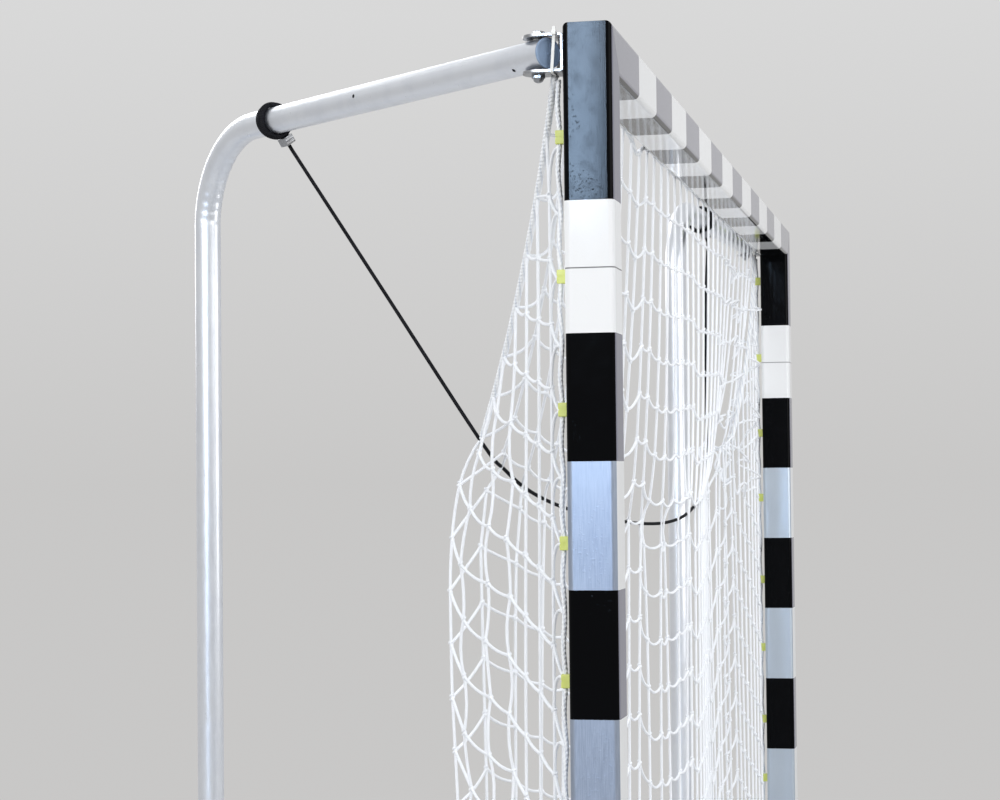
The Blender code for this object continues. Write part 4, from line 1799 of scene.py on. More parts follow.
@dataclass
class EdgeRopes:
    """The laid ropes along the posts, the crossbar and the net's borders, with clips and ties."""

    lines: GoalLines
    paint: Paint
    radius: float = 0.0046
    border_radius: float = 0.0062
    lay: float = 42.0
    end_gap: float = 0.004
    low: float = 0.1035
    high: float = 1.9967
    clip_width: float = 0.0130
    clip_height: float = 0.022
    clip_wall: float = 0.0022
    clip_rise: float = 0.010
    clip_seam: float = 0.0010
    clip_seam_depth: tuple[float, float] = (0.0012, 0.0008)
    clip_neck: float = 0.0035
    clip_foot: float = 0.0063
    clip_foot_span: tuple[float, float] = (0.0085, 0.0026)
    left_clips: tuple[float, ...] = (1.905, 1.684, 1.474, 1.264, 1.048, 0.840, 0.630, 0.420, 0.210)
    right_clips: tuple[float, ...] = (1.931, 1.709, 1.493, 1.307, 1.072, 0.878, 0.673, 0.505, 0.290)
    tie_width: float = 0.0048
    tie_thickness: float = 0.0014
    tie_room: tuple[float, float] = (0.0253, 0.0313)
    tie_setback: float = 0.0165
    tie_lean_deg: float = 4
    post_pull: float = 0.0028
    post_wave: float = 0.0012
    waves: float = 37

    def build(self, borders: dict[Side, np.ndarray]) -> None:
        """Makes the ropes, the clips and the ties.

        Args:
            borders: The border ropes' lines.
        """
        clip = self.clip()
        for side in Side:
            self.post_rope(side, clip)
            self.border(side, borders[side])
            self.tie(side)
        self.crossbar_rope(clip)
        bpy.data.objects.remove(clip)

    def twisted(self, name: str, path: np.ndarray, radius: float, step: float) -> bpy.types.Object:
        """A rope with three raised strands along a path.

        Args:
            name: The piece's name.
            path: The path.
            radius: The rope's radius.
            step: The distance between two rings of its mesh.

        Returns:
            The rope.
        """
        even = even_steps(path, max(8, int(length_of(path) / step)))
        return cord_object(name, even, Strand(radius, 12, 3, 0.20, self.lay))

    def clip(self) -> bpy.types.Object:
        """One clip at the origin: a band with a seam, a neck and a foot for the groove at -y.

        Returns:
            The clip.
        """
        half, tall = self.clip_width / 2, self.clip_height / 2
        deep = self.lines.rope_radius + self.clip_wall
        front = -self.lines.rope_standoff
        band = Bench.block("clip", (-half, front + 0.0005, -tall), (half, deep, tall))
        Bench.bevel(band, lambda edge: True, 0.0014, 3)
        seam, (rear, flank) = self.clip_seam, self.clip_seam_depth
        Bench.cut(band, Bench.block("seam", (-1, deep - rear, -seam), (1, 1, seam)))
        for way in (-1, 1):
            ends = sorted((way * (half - flank), way * 1.0))
            low, high = (ends[0], -0.004, -seam), (ends[1], 1, seam)
            Bench.cut(band, Bench.block("seam", low, high))
        wide = self.clip_neck
        neck = Bench.block("neck", (-wide, front - 0.003, -tall), (wide, front + 0.002, tall))
        wide, (end, start) = self.clip_foot, self.clip_foot_span
        foot = Bench.block("foot", (-wide, front - end, -tall), (wide, front - start, tall))
        Bench.cut(band, neck, "UNION")
        Bench.cut(band, foot, "UNION")
        Bench.soften(band)
        return band

    def with_clips(
        self, rope: bpy.types.Object, node: str, clip: bpy.types.Object, places: list[Matrix]
    ) -> None:
        """Hands a rope over, and a clip at each place.

        Args:
            rope: The rope.
            node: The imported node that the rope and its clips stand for.
            clip: The clip that is copied.
            places: Where the clips go.
        """
        hand_over(rope, self.paint.rope, "frame", "edge_rope", node)
        twins = [Bench.copy(clip, "clip", place) for place in places]
        clips = Bench.join(f"{node}_clips", twins)
        hand_over(clips, self.paint.clip, "frame", "net_clip", node)

    def post_rope(self, side: Side, clip: bpy.types.Object) -> None:
        """The rope along a post, pulled a little between its clips.

        Args:
            side: The post's side.
            clip: The clip that is copied.
        """
        line = self.lines
        x = side.sign * line.post_x
        heights = np.linspace(self.low, self.high, 300)
        held = self.left_clips if side is Side.LEFT else self.right_clips
        apart = np.min(np.abs(heights[:, None] - np.array(held)[None]), axis=1)
        pull = self.post_pull * np.sin(np.clip(apart / CLIP_SPACING, 0, 0.5) * math.pi * 2) ** 2
        wave = self.post_wave * np.sin(heights * self.waves + side.sign)
        path = [line.at(x + w, line.rope_y + p, z) for z, p, w in zip(heights, pull, wave)]
        node = f"{side.value}_edge_rope"
        rope = self.twisted(f"{node}_laid", np.array(path), self.radius, 0.0042)
        places = [Matrix.Translation(line.at(x, line.rope_y, z)) for z in held]
        self.with_clips(rope, node, clip, places)

    def crossbar_rope(self, clip: bpy.types.Object) -> None:
        """The rope along the crossbar, with one slack bay near the left end.

        Args:
            clip: The clip that is copied.
        """
        line = self.lines
        reach = line.mouth_width / 2 - self.end_gap
        across = np.linspace(-reach, reach, 500)
        path = [line.at(x, line.rope_y, line.groove_height - crossbar_droop(x)) for x in across]
        rope = self.twisted("crossbar_edge_rope_laid", np.array(path), self.radius, 0.0050)
        count = int(2 * reach / CLIP_SPACING)
        turn = Matrix.Rotation(math.radians(90), 4, "Y")
        places = []
        for i in range(count):
            x = (i - (count - 1) / 2) * CLIP_SPACING
            if abs(x - SLACK_X) > CLIP_SPACING / 2:
                place = line.at(x, line.rope_y, line.groove_height + self.clip_rise)
                places.append(Matrix.Translation(place) @ turn)
        self.with_clips(rope, "crossbar_edge_rope", clip, places)

    def border(self, side: Side, path: np.ndarray) -> None:
        """The rope that edges the net between the tie and the elastic cord.

        Args:
            side: The rope's side.
            path: The points it goes through.
        """
        smooth = smooth_line(path, 400)
        obj = self.twisted(f"{side.value}_border_rope", smooth, self.border_radius, 0.0030)
        hand_over(obj, self.paint.rope, "frame", "edge_rope")
        declare_cord(self.border_radius)

    def tie(self, side: Side) -> None:
        """The cable tie drawn round the upper bracket, with its head and its cut tail.

        Args:
            side: The tie's side.
        """
        half_x, half_z = self.tie_room
        t, wide = self.tie_thickness, self.tie_width / 2
        low, high = (-half_x - t, -wide, -half_z - t), (half_x + t, wide, half_z + t)
        obj = Bench.block("tie", low, high)
        Bench.bevel(obj, lambda edge: runs_along(edge, 1, 0.003), 0.0025, 4)
        room = Bench.block("room", (-half_x, -1, -half_z), (half_x, 1, half_z))
        Bench.bevel(room, lambda edge: runs_along(edge, 1, 0.003), 0.0012, 3)
        Bench.cut(obj, room)
        low = (-half_x - 0.0058, -0.0037, half_z - 0.0045)
        high = (-half_x - 0.0004, 0.0037, half_z + 0.0030)
        head = Bench.block("head", low, high)
        Bench.bevel(head, lambda edge: True, 0.0008, 2)
        low = (-half_x - 0.0042, -wide, half_z - 0.001)
        high = (-half_x - 0.0030, wide, half_z + 0.009)
        tail = Bench.block("tail", low, high)
        Bench.bevel(tail, lambda edge: True, 0.0004, 2)
        obj = Bench.join(f"{side.value}_cable_tie_drawn", [obj, head, tail])
        Bench.soften(obj)
        line = self.lines
        lean = Matrix.Rotation(math.radians(self.tie_lean_deg), 4, "X")
        flip = Matrix.Scale(side.sign * -1, 4, (1, 0, 0))
        place = line.at(side.sign * line.post_x, line.half + self.tie_setback, line.bow_top)
        Bench.move(obj, Matrix.Translation(place) @ lean @ flip)
        name = f"{side.value}_cable_tie"
        hand_over(obj, self.paint.nylon, "frame", "nylon", name)


# The net


class Panel(Enum):
    """The net's panels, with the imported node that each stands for."""

    MAIN = "net_main"
    LEFT = "left_net"
    RIGHT = "right_net"


class Way(Enum):
    """How a strand of twine runs."""

    DOWN = 0
    ALONG = 1
    FROM_POST = 2


@dataclass
class NetDrape:
    """The net as it hangs: its knots and the middles of its strands, settled under their weight.

    A column of twine starts at every mesh of the crossbar's edge rope, runs taut to where it crosses
    the cord and falls behind it to the floor. The side panels fall from the border between the
    posts' heads and the cord, and their rear columns are the main panel's outer ones.
    """

    lines: GoalLines
    cord: np.ndarray
    mesh: float = 0.100
    across: int = 30
    rows: int = 28
    side_rows: int = 22
    side_columns: int = 7
    first_crossing: Point = (-1.0, 0.307, 1.438)
    crossings: tuple[float, ...] = (
        0.0, 0.085, 0.165, 0.250, 0.335, 0.415, 0.490, 0.560, 0.635, 0.715, 0.803, 0.811, 0.903,
        0.915, 1.003, 1.100, 1.112, 1.200, 1.300, 1.395, 1.490, 1.585, 1.680, 1.775, 1.865,
    )
    bunch: tuple[Point, Point] = ((0.880, 0.098, 1.428), (0.965, 0.066, 1.470))
    bunch_slack: float = 1.07
    odd_columns: int = 6
    corner: tuple[Point, ...] = (
        (-1.005, 0.340, 1.383), (-1.010, 0.357, 1.292), (-1.010, 0.364, 1.188),
        (-1.010, 0.362, 0.982), (-1.010, 0.353, 0.782), (-1.010, 0.345, 0.020),
    )
    bulge_share: tuple[float, ...] = (0.30, 0.60, 1.05)
    border_top: Point = (-1.536, 0.060, 2.003)
    border_sag: float = 0.013
    border_knots: tuple[float, ...] = (0.0, 0.138, 0.298, 0.452, 0.600, 0.745, 0.868, 1.0)
    post_first: float = 1.888
    post_step: float = 0.105
    stages: tuple[tuple[float, int], ...] = ((0.95, 700), (0.985, 900), (0.995, 900), (0.97, 300))
    pace: float = 1 / 650
    twine: float = 0.0028
    folded_deg: float = 88.0
    arm_gap: float = 0.007
    glide_reach: float = 0.830
    glide_room: float = 0.045
    lift: Point = (0, -0.004, 0.0045)
    edge_gap: float = 0.006
    taut: float = 1.001
    corner_slack: float = 0.97
    fold_start: float = 0.01
    fold_run: Point = (0.19, 0.05, 0.02)
    fold_low: float = 0.012
    fold_rise: float = 0.010
    gravity: float = 9.81
    most_speed: float = 0.004
    floor_grip: float = 0.8
    arm_steps: int = 4

    def __post_init__(self) -> None:
        """Lays out the knots, strands and pins."""
        self.points: list[np.ndarray] = []
        self.rods: list[tuple[int, int, float]] = []
        self.strands: list[tuple[int, int, int, Way, Panel]] = []
        self.held: set[int] = set()
        self.columns = np.zeros((self.across + 1, 2 * self.rows + 1), int)
        self.borders: dict[Side, np.ndarray] = {}
        self.main_panel()
        for side in Side:
            self.side_panel(side)

    def add(self, point: Iterable[float], held: bool = False) -> int:
        """Adds a point.

        Args:
            point: Its place.
            held: Whether it stays there.

        Returns:
            Its number.
        """
        self.points.append(np.asarray(point, float))
        if held:
            self.held.add(len(self.points) - 1)
        return len(self.points) - 1

    def where_crossed(self) -> np.ndarray:
        """The points where the columns cross the cord, and the bunch beside its upright end.

        Returns:
            The points, one for each column.
        """
        start = np.array(self.lines.at(*self.first_crossing))
        nearest = int(np.argmin(np.linalg.norm(self.cord - start, axis=1)))
        rest = self.cord[nearest:]
        arcs = arc_lengths(rest)
        over = [np.interp(self.crossings, arcs, rest[:, k]) for k in range(3)]
        over = np.stack(over, axis=1) + np.array(self.lift)
        count = self.across + 1 - len(over)
        first, last = (np.array(self.lines.at(*point)) for point in self.bunch)
        share = np.linspace(0, 1, count)[:, None]
        return np.vstack([over, first * (1 - share) + last * share])

    def heads(self) -> np.ndarray:
        """The columns' upper ends on the crossbar's edge rope, which droops between its clips.

        Returns:
            The points, one for each column.
        """
        line = self.lines
        edge = line.mouth_width / 2 - self.edge_gap
        places = []
        for i in range(self.across + 1):
            x = edge * (2 * i / self.across - 1)
            places.append(line.at(x, line.rope_y, line.groove_height - crossbar_droop(x)))
        return np.array(places)

    def border(self, low: np.ndarray, side: Side) -> np.ndarray:
        """The points of a border rope, from the tie at the bracket down to its knot at the cord.

        Args:
            low: Its lower end.
            side: Its side.

        Returns:
            Its points, two to a mesh.
        """
        x, y, z = self.border_top
        top = np.array(self.lines.at(side.sign * abs(x), y, z))
        count = 2 * self.side_columns
        even = np.arange(count + 1) / 2
        knots = self.border_knots if side is Side.LEFT else np.linspace(0, 1, len(self.border_knots))
        share = np.interp(even, np.arange(len(knots)), knots)[:, None]
        sag = 4 * self.border_sag * share * (1 - share)
        return top + (low - top) * share - sag * np.array([0, 1.0, 0.3])

    def main_panel(self) -> None:
        """Places the main panel's columns and ties its rows between them."""
        heads, crossed = self.heads(), self.where_crossed()
        half = self.mesh / 2
        for i, (head, over) in enumerate(zip(heads, crossed)):
            span = float(np.linalg.norm(over - head))
            loose = i >= len(self.crossings)
            count = round(span * (self.bunch_slack if loose else 1.0) / half)
            if 0 < i < self.odd_columns:
                count = 2 * round((span / half - 1) / 2) + 1
            edge = i in (0, self.across)
            if edge:
                count = 2 * self.side_columns
                side = Side.LEFT if i == 0 else Side.RIGHT
                border = self.borders[side] = self.border(over, side)
            for m in range(2 * self.rows + 1):
                if m > count:
                    place = self.fall(over, (m - count) * half, i)
                elif edge:
                    place = border[m]
                else:
                    place = head + (over - head) * m / count
                self.columns[i, m] = self.add(place, m in (0, count) or edge and m < count)
                if m > 0:
                    taut = span * self.taut / count if m <= count and not loose else half
                    self.rods.append((self.columns[i, m - 1], self.columns[i, m], taut))
            for m in range(count if edge else 0, 2 * self.rows, 2):
                a, b, c = self.columns[i, m : m + 3]
                self.strands.append((a, b, c, Way.DOWN, Panel.MAIN))
        bulge = np.array([crossed[0]] + [self.lines.at(*point) for point in self.corner])
        arcs = arc_lengths(bulge)
        for m in range(2 * self.side_columns + 1, 2 * self.rows + 1):
            length = (m - 2 * self.side_columns) * half * self.corner_slack
            if length < arcs[-1]:
                number = self.columns[0, m]
                place = [np.interp(length, arcs, bulge[:, k]) for k in range(3)]
                self.points[number] = np.array(place)
                self.held.add(number)
        for j in range(1, self.rows + 1):
            for i in range(self.across):
                ends = self.columns[i, 2 * j], self.columns[i + 1, 2 * j]
                self.tie(*ends, Way.ALONG, Panel.MAIN)

    def fall(self, top: np.ndarray, length: float, i: float) -> np.ndarray:
        """A point down a column, folded to and fro once it reaches the floor.

        Args:
            top: The column's upper end.
            length: How far down it the point is.
            i: The column's number, which sets its folds apart.

        Returns:
            The point.
        """
        free = top[2] - self.fold_start
        if length <= free:
            return top - np.array([0, 0, length])
        rest = length - free
        mean, slow, quick = self.fold_run
        run = mean + slow * math.sin(1.7 * i) + quick * math.sin(5.1 * i)
        fold, part = divmod(rest, run)
        y = part if int(fold) % 2 == 0 else run - part
        return np.array([top[0], top[1] + y, self.fold_low + self.fold_rise * fold])

    def tie(self, a: int, b: int, way: Way, panel: Panel) -> None:
        """Adds a strand with a middle of its own between two knots.

        Args:
            a: The first knot.
            b: The second knot.
            way: How the strand runs.
            panel: Its panel.
        """
        middle = (self.points[a] + self.points[b]) / 2
        spare = self.mesh**2 - float(np.sum((self.points[a] - self.points[b]) ** 2))
        m = self.add(middle - np.array([0, 0, math.sqrt(max(spare, 1e-5)) / 2]))
        self.rods.append((a, m, self.mesh / 2))
        self.rods.append((m, b, self.mesh / 2))
        self.strands.append((a, m, b, way, panel))

    def side_panel(self, side: Side) -> None:
        """Places a side panel: its columns fall from the border and its rows run on to the post.

        Args:
            side: The panel's side.
        """
        line, half = self.lines, self.mesh / 2
        panel = Panel.LEFT if side is Side.LEFT else Panel.RIGHT
        edge = 0 if side is Side.LEFT else self.across
        outer = self.columns[edge]
        grid: dict[tuple[int, int], int] = {}
        for level in range(self.side_rows + 1):
            grid[min(level, self.side_columns), level] = outer[2 * level]
        for a in range(1, self.side_columns):
            last = grid[a, a]
            top = self.points[last]
            for m in range(1, 2 * (self.side_rows - a) + 1):
                place, held = self.fall(top, m * half, a + 9.0 * edge), False
                if side is Side.LEFT and a >= 4 and place[2] > 0.1:
                    place, held = self.bulged(place, a, m), m > 2
                new = self.add(place, held)
                self.rods.append((last, new, half))
                last = new
                if m % 2 == 0:
                    grid[a, a + m // 2] = new
                    ends = grid[a, a + m // 2 - 1], new - 1, new
                    self.strands.append((*ends, Way.DOWN, panel))
        for level in range(2, self.side_rows + 1):
            for a in range(1, min(level, self.side_columns)):
                self.tie(grid[a, level], grid[a + 1, level], Way.ALONG, panel)
        x = side.sign * line.post_x
        places = np.arange(self.post_first, 0.06, -self.post_step)
        seats = [self.add(line.at(x, line.rope_y, z), True) for z in places]
        for level, seat in enumerate(seats, start=1):
            if level > 1:
                self.tie(seat, grid[1, level], Way.ALONG, panel)
            self.tie(seat, grid[1, level + 1], Way.FROM_POST, panel)

    def bulged(self, place: np.ndarray, column: int, step: int) -> np.ndarray:
        """A point of a side panel's rear column, carried out as the panel's corner bulges.

        Args:
            place: Where the point would hang.
            column: Its column.
            step: How many half meshes it is below the border.

        Returns:
            Its place.
        """
        bulge = np.array([self.lines.at(*point) for point in self.corner])
        start = np.array(self.lines.at(*self.first_crossing))
        way = [np.interp(-place[2], -bulge[:, 2], bulge[:, k]) - start[k] for k in range(2)]
        share = self.bulge_share[column - 4]
        sway = 0.0035 * math.sin(1.9 * step + 2.1 * column)
        return place + np.array([way[0] * share + sway, way[1] * share - sway, 0.0])

    def clear_arm(self, points: np.ndarray, moving: np.ndarray) -> None:
        """Keeps the twine in front of the folded right bow's lower arm and glide.

        Args:
            points: All the points, which it changes.
            moving: One for each point that is free to move.
        """
        line = self.lines
        turn = math.radians(self.folded_deg)
        across = line.post_x - points[:, 0]
        axis = line.hinge_y + line.line_y + across / math.tan(turn)
        clear = line.bow_radius + self.arm_gap
        rise = np.abs(points[:, 2] - line.bow_low)
        rise[np.abs(across - self.glide_reach) < self.glide_room] = 0.0
        low = points[:, 2] < line.bow_low + clear
        near = (across > 0.03) & (across < line.bow_reach) & (rise < clear) & low
        room = axis - np.sqrt(np.maximum(clear**2 - rise**2, 0))
        inside = near & (points[:, 1] > room) & (points[:, 1] < axis + 2.5 * clear)
        inside &= moving[:, 0] > 0
        points[inside, 1] = room[inside]

    def batches(self) -> list[np.ndarray]:
        """Groups the rods so that no two in a group share a point.

        Returns:
            The rods' numbers, group by group.
        """
        used: list[set[int]] = []
        groups: list[list[int]] = []
        for number, (a, b, _) in enumerate(self.rods):
            for taken, group in zip(used, groups):
                if a not in taken and b not in taken:
                    break
            else:
                taken, group = set(), []
                used.append(taken)
                groups.append(group)
            taken.update((a, b))
            group.append(number)
        return [np.array(group) for group in groups]

    def settle(self) -> np.ndarray:
        """Lets the net fall and come to rest.

        Returns:
            All the points.
        """
        points = np.array(self.points)
        free = np.ones(len(points))
        free[sorted(self.held)] = 0.0
        ends = np.array([(a, b) for a, b, _ in self.rods])
        rest = np.array([length for _, _, length in self.rods])
        work = []
        for group in self.batches():
            a, b = ends[group].T
            total = np.maximum(free[a] + free[b], 1.0)
            work.append((a, b, rest[group], (free[a] / total)[:, None], (free[b] / total)[:, None]))
        moving = free[:, None]
        fall = np.array([0, 0, -self.gravity * self.pace**2])
        speed = np.zeros_like(points)
        for drag, count in self.stages:
            for step in range(count):
                before = points.copy()
                points += (speed * drag + fall) * moving
                for a, b, length, share_a, share_b in work:
                    gap = points[b] - points[a]
                    size = np.sqrt(np.einsum("ij,ij->i", gap, gap)) + 1e-9
                    change = gap * (1 - length / size)[:, None]
                    points[a] += share_a * change
                    points[b] -= share_b * change
                if step % self.arm_steps == 0:
                    self.clear_arm(points, moving)
                low = (points[:, 2] < self.twine) & (free > 0)
                points[low, 2] = self.twine
                points[low, :2] += (before[low, :2] - points[low, :2]) * self.floor_grip
                speed = np.clip(points - before, -self.most_speed, self.most_speed)
        log.info("net: its last step moves %.6f m", float(np.abs(speed).max()))
        return points


@dataclass
class Net:
    """The net's twine and knots, laid over the settled points."""

    lines: GoalLines
    paint: Paint
    drape: NetDrape
    radius: float = 0.0030
    sides: int = 5
    pieces: dict[Way, int] = field(
        default_factory=lambda: {Way.DOWN: 4, Way.ALONG: 7, Way.FROM_POST: 9}
    )
    sag: dict[Way, float] = field(
        default_factory=lambda: {Way.DOWN: 1.0, Way.ALONG: 0.30, Way.FROM_POST: 1.0}
    )
    curl_span: tuple[float, float] = (0.55, 1.05)
    curl_low: float = 1.30
    curl_end: float = 1.36
    curl_size: float = 0.060
    curl_waves: Point = (57.0, 91.0, 43.0)
    curl_phases: Point = (0.0, 2.1, 4.2)
    lead_share: float = 0.55
    lead_rise: float = 0.012
    knot_lead: float = 0.055
    knot_turns: float = 1.6
    knot_height: float = 3.6
    knot_steps: int = 10

    def build(self) -> None:
        """Settles the net and makes its panels."""
        points = self.drape.settle()
        for panel in Panel:
            self.panel(panel, points)

    def curves(self, way: Way, a: np.ndarray, m: np.ndarray, b: np.ndarray) -> np.ndarray:
        """The strands' lines between their knots.

        Args:
            way: How the strands run.
            a: Their first knots.
            m: Their middles.
            b: Their second knots.

        Returns:
            Strands by points by three.
        """
        t = np.linspace(0, 1, self.pieces[way] + 1)[None, :, None]
        a, m, b = a[:, None], m[:, None], b[:, None]
        if way is Way.FROM_POST:
            level = np.array([self.lead_share, self.lead_share, 0.0])
            out = a + (b - a) * level + np.array([0, 0, self.lead_rise])
            above = b + np.array([0, 0, self.knot_lead])
            lines = (1 - t) ** 3 * a + 3 * (1 - t) ** 2 * t * out
            return self.lifted(lines + 3 * (1 - t) * t**2 * above + t**3 * b)
        middle = (a + b) / 2
        control = middle + 2 * self.sag[way] * (m - middle)
        if way is Way.ALONG:
            control = control + self.curl(middle)
        return self.lifted((1 - t) ** 2 * a + 2 * t * (1 - t) * control + t**2 * b)

    def lifted(self, lines: np.ndarray) -> np.ndarray:
        """The lines, kept above the floor by their own radius."""
        lines[..., 2] = np.maximum(lines[..., 2], self.radius)
        return lines

    def curl(self, middle: np.ndarray) -> np.ndarray:
        """How far the slack twine near the right post stands off in loops.

        Args:
            middle: The strands' middles.

        Returns:
            The shift of each strand's control point.
        """
        start, full = self.curl_span
        share = np.clip((middle[..., :1] - start) / (full - start), 0, 1)
        share = share * (middle[..., 2:] > self.curl_low) * (middle[..., :1] < self.curl_end)
        phase = middle * np.array(self.curl_waves)
        wave = np.sin(phase.sum(axis=-1, keepdims=True) + np.array(self.curl_phases))
        return share * wave * self.curl_size

    def knots(self, places: np.ndarray, downs: np.ndarray) -> np.ndarray:
        """The knots' short windings, each round its column of twine.

        Args:
            places: The knots' places.
            downs: The columns' directions there.

        Returns:
            Knots by points by three.
        """
        downs = downs / (np.linalg.norm(downs, axis=1, keepdims=True) + 1e-9)
        helper = np.where(np.abs(downs[:, :1]) < 0.9, [[1.0, 0, 0]], [[0, 1.0, 0]])
        across = np.cross(downs, helper)
        across /= np.linalg.norm(across, axis=1, keepdims=True)
        third = np.cross(downs, across)
        t = np.linspace(-0.5, 0.5, self.knot_steps + 1)[None, :, None]
        angle = 2 * math.pi * self.knot_turns * t + np.arange(len(places))[:, None, None]
        winding = np.cos(angle) * across[:, None] + np.sin(angle) * third[:, None]
        rise = downs[:, None] * t * self.knot_height * self.radius
        return self.lifted(places[:, None] + self.radius * winding + rise)

    def panel(self, panel: Panel, points: np.ndarray) -> None:
        """One panel's twine and knots in one mesh.

        Args:
            panel: The panel.
            points: The settled points.
        """
        twine = Strand(self.radius, self.sides)
        parts = []
        knots: dict[int, np.ndarray] = {}
        for way in Way:
            chosen = [s[:3] for s in self.drape.strands if s[3] is way and s[4] is panel]
            if not chosen:
                continue
            ends = np.array(chosen)
            a, m, b = (points[ends[:, k]] for k in range(3))
            parts.append(twine.tubes(self.curves(way, a, m, b)))
            if way is Way.DOWN:
                for first, _, last in chosen:
                    knots[first] = knots[last] = points[last] - points[first]
        numbers = sorted(knots)
        windings = self.knots(points[numbers], np.array([knots[n] for n in numbers]))
        parts.append(Strand(self.radius * 0.9, self.sides).tubes(windings, pointed=True))
        shift, faces = 0, []
        for verts, quads, _ in parts:
            faces.append(quads + shift)
            shift += len(verts)
        obj = mesh_object(
            f"{panel.value}_hung",
            np.vstack([part[0] for part in parts]),
            np.vstack(faces),
            np.vstack([part[2] for part in parts]),
        )
        hand_over(obj, self.paint.net, "frame", "net_cord", panel.value)


# The studio


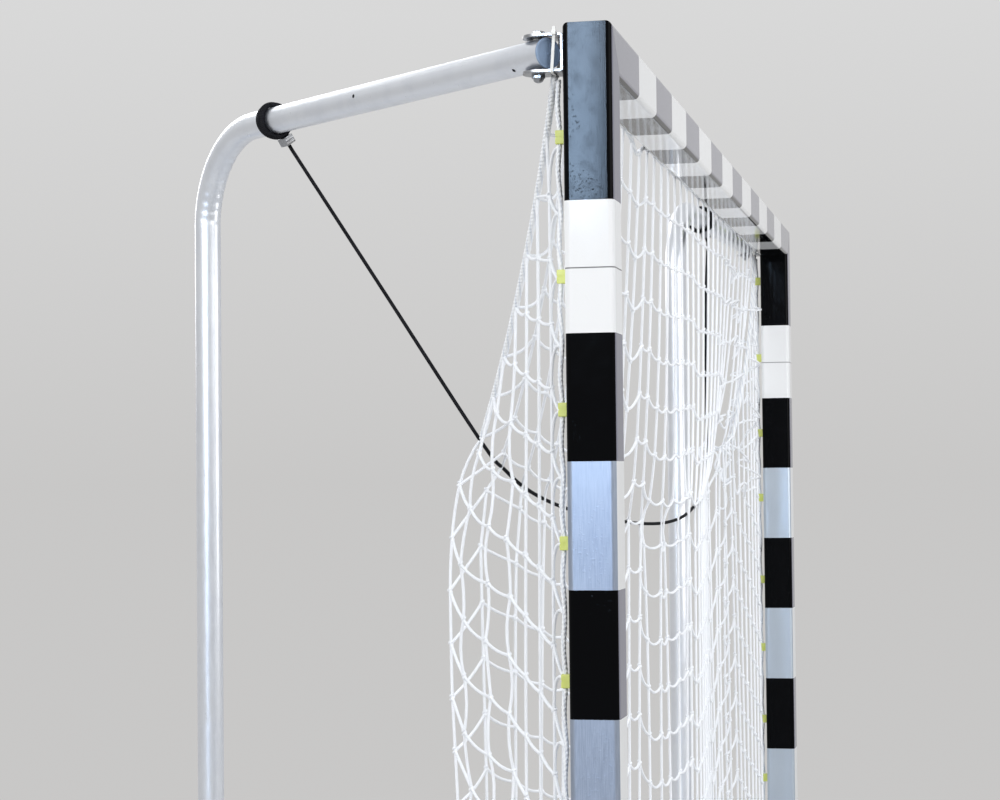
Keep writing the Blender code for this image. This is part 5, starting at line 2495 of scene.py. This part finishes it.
@dataclass
class Studio:
    """The camera, the lamps, the floor and the pale surroundings."""

    camera_place: Point = (-5.1021, -0.6147, 1.3636)
    yaw: float = 0.2122
    pitch: float = 0.0350
    roll: float = -0.0101
    lens: float = 82.79
    high: Color = (0.69, 0.69, 0.69)
    low: Color = (0.58, 0.575, 0.57)
    floor_fade: tuple[float, float] = (2.8, 4.9)
    light: Color = (0.95, 0.97, 1.0)
    light_strength: float = 0.74
    ground: Color = (0.60, 0.595, 0.59)
    lamps: tuple[tuple[str, Point, Point, float, float], ...] = (
        ("key", (-7.5, 2.2, 5.0), (0, 0, 1.0), 4.0, 230),
        ("mouth", (-0.4, -2.3, 1.7), (1.5, -0.4, 1.4), 1.2, 13),
        ("fill", (-4.0, -6.0, 4.5), (0, 0, 1.0), 5.0, 140),
        ("rear", (5.5, 5.0, 4.5), (0, 0, 1.0), 5.0, 200),
    )
    panel_place: Point = (-10.0, 1.585, 3.45)
    panel_size: tuple[float, float] = (0.49, 1.35)
    panel_power: float = 208
    panel_color: Color = (0.52, 0.72, 1.0)

    def build(self, lines: GoalLines) -> None:
        """Sets the camera, the lamps, the floor and the world.

        Args:
            lines: The goal's lines.
        """
        self.camera(lines)
        self.world()
        self.floor()
        for lamp in self.lamps:
            self.lamp(*lamp)
        self.panel(lines)
        bpy.context.scene.view_settings.view_transform = "Standard"

    def camera(self, lines: GoalLines) -> None:
        """The camera at the photograph's place and angle.

        Args:
            lines: The goal's lines.
        """
        data = bpy.data.cameras.new("camera")
        data.lens = self.lens
        data.sensor_width = 36.0
        obj = bpy.data.objects.new("camera", data)
        bpy.context.scene.collection.objects.link(obj)
        yaw, pitch, roll = self.yaw, self.pitch, self.roll
        ahead = Vector(
            (math.cos(yaw) * math.cos(pitch), math.sin(yaw) * math.cos(pitch), math.sin(pitch))
        )
        right = ahead.cross(Vector((0, 0, 1))).normalized()
        above = right.cross(ahead)
        turned_right = right * math.cos(roll) + above * math.sin(roll)
        turned_above = -right * math.sin(roll) + above * math.cos(roll)
        turn = Matrix((turned_right, turned_above, -ahead)).transposed().to_4x4()
        obj.matrix_world = Matrix.Translation(lines.at(*self.camera_place)) @ turn
        bpy.context.scene.camera = obj

    def lamp(
        self, name: str, place: Point, target: Point, size: float, power: float
    ) -> bpy.types.Object:
        """A soft square lamp that looks at a point.

        Args:
            name: The lamp's name.
            place: Where it is.
            target: What it looks at.
            size: Its side's length.
            power: Its power in watts.

        Returns:
            The lamp.
        """
        data = bpy.data.lights.new(name, "AREA")
        data.size = size
        data.energy = power
        obj = bpy.data.objects.new(name, data)
        bpy.context.scene.collection.objects.link(obj)
        way = Vector(target) - Vector(place)
        obj.rotation_euler = way.to_track_quat("-Z", "Y").to_euler()
        obj.location = place
        return obj

    def panel(self, lines: GoalLines) -> None:
        """A narrow bluish panel far behind the camera, which the left post's top band reflects.

        Args:
            lines: The goal's lines.
        """
        place, (width, height) = lines.at(*self.panel_place), self.panel_size
        target = (place.x + 1, place.y, place.z)
        panel = self.lamp("panel", place, target, width, self.panel_power)
        panel.visible_diffuse = False
        panel.data.shape = "RECTANGLE"
        panel.data.size_y = height
        panel.data.color = self.panel_color

    def world(self) -> None:
        """A pale surround that the camera and the reflections see, over a plain soft light."""
        world = bpy.data.worlds.new("studio")
        bpy.context.scene.world = world
        world.use_nodes = True
        nodes = Nodes(world.node_tree)
        nodes.tree.nodes.clear()
        _, _, height = nodes.axes(nodes.node("ShaderNodeTexCoord", output="Generated"))
        color = nodes.mix(height.span(0.0, 0.2, 0.0, 1.0), self.low, self.high)
        seen = nodes.node("ShaderNodeBackground", {}, {"Color": color})
        inputs = {"Color": self.light, "Strength": self.light_strength}
        light = nodes.node("ShaderNodeBackground", {}, inputs)
        camera, glossy, clear = (
            nodes.node("ShaderNodeLightPath", output=f"Is {kind} Ray")
            for kind in ("Camera", "Glossy", "Transmission")
        )
        output = nodes.tree.nodes.new("ShaderNodeOutputWorld")
        nodes.end(output, camera.high(glossy).high(clear), light, seen)

    def floor(self) -> None:
        """A pale floor that keeps the goal's shadow and fades into the surround far away."""
        Bench.clear()
        bpy.ops.mesh.primitive_plane_add(size=80, location=(0, 0, 0))
        obj = Bench.named("studio_floor")
        board = Board("studio_floor_paint")
        x, y, _ = board.axes(board.place())
        far = ((x * x + y * y) ** 0.5).ease(*self.floor_fade)
        board.dress(Base_Color=self.ground, Roughness=0.9, Specular_IOR_Level=0.1)
        paint = Shade(board, board.shader.outputs[0])
        glow = board.node("ShaderNodeEmission", {}, {"Color": self.low})
        board.end(board.tree.nodes["Material Output"], far, paint, glow)
        obj.data.materials.append(board.material)


# The whole goal


def dress_nodes(nodes: dict[str, bpy.types.Object], paint: Paint) -> None:
    """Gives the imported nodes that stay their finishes.

    Args:
        nodes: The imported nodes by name.
        paint: The finishes.
    """
    finishes = {
        "bracket": paint.zinc,
        "bolt": paint.zinc,
        "nut": paint.zinc,
        "clamp": paint.zinc,
        "spigot": paint.aluminium,
        "angle": paint.aluminium,
        "foot_plug": paint.black,
        "glide": paint.black,
        "tube_plug": paint.grey,
        "bush": paint.nylon,
        "cable_tie": paint.nylon,
        "cord_loop": paint.elastic,
        "edge_rope": paint.rope,
        "elastic_cord": paint.elastic,
        "net": paint.net,
        "post": paint.upright,
        "crossbar": paint.across,
        "bow_tube": paint.bow,
    }
    for name, obj in nodes.items():
        finish = next(value for key, value in finishes.items() if key in name)
        obj.data.materials.clear()
        obj.data.materials.append(finish)


def main() -> None:
    """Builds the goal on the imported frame."""
    logging.basicConfig(level=logging.INFO, format="%(message)s")
    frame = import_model()
    lines = GoalLines.read()
    Studio().build(lines)
    paint = Paint(lines)
    dress_nodes(frame["nodes"], paint)
    cord = ElasticCord(lines, paint).build()
    BarFrame(lines, paint).build()
    for side in Side:
        NetBow(lines, paint, side).build()
        BowFittings(lines, paint, side).build()
        for arm in Arm:
            Hinge(lines, paint, side, arm).build()
    drape = NetDrape(lines, cord)
    EdgeRopes(lines, paint).build(drape.borders)
    Net(lines, paint, drape).build()


if __name__ == "__main__":
    main()
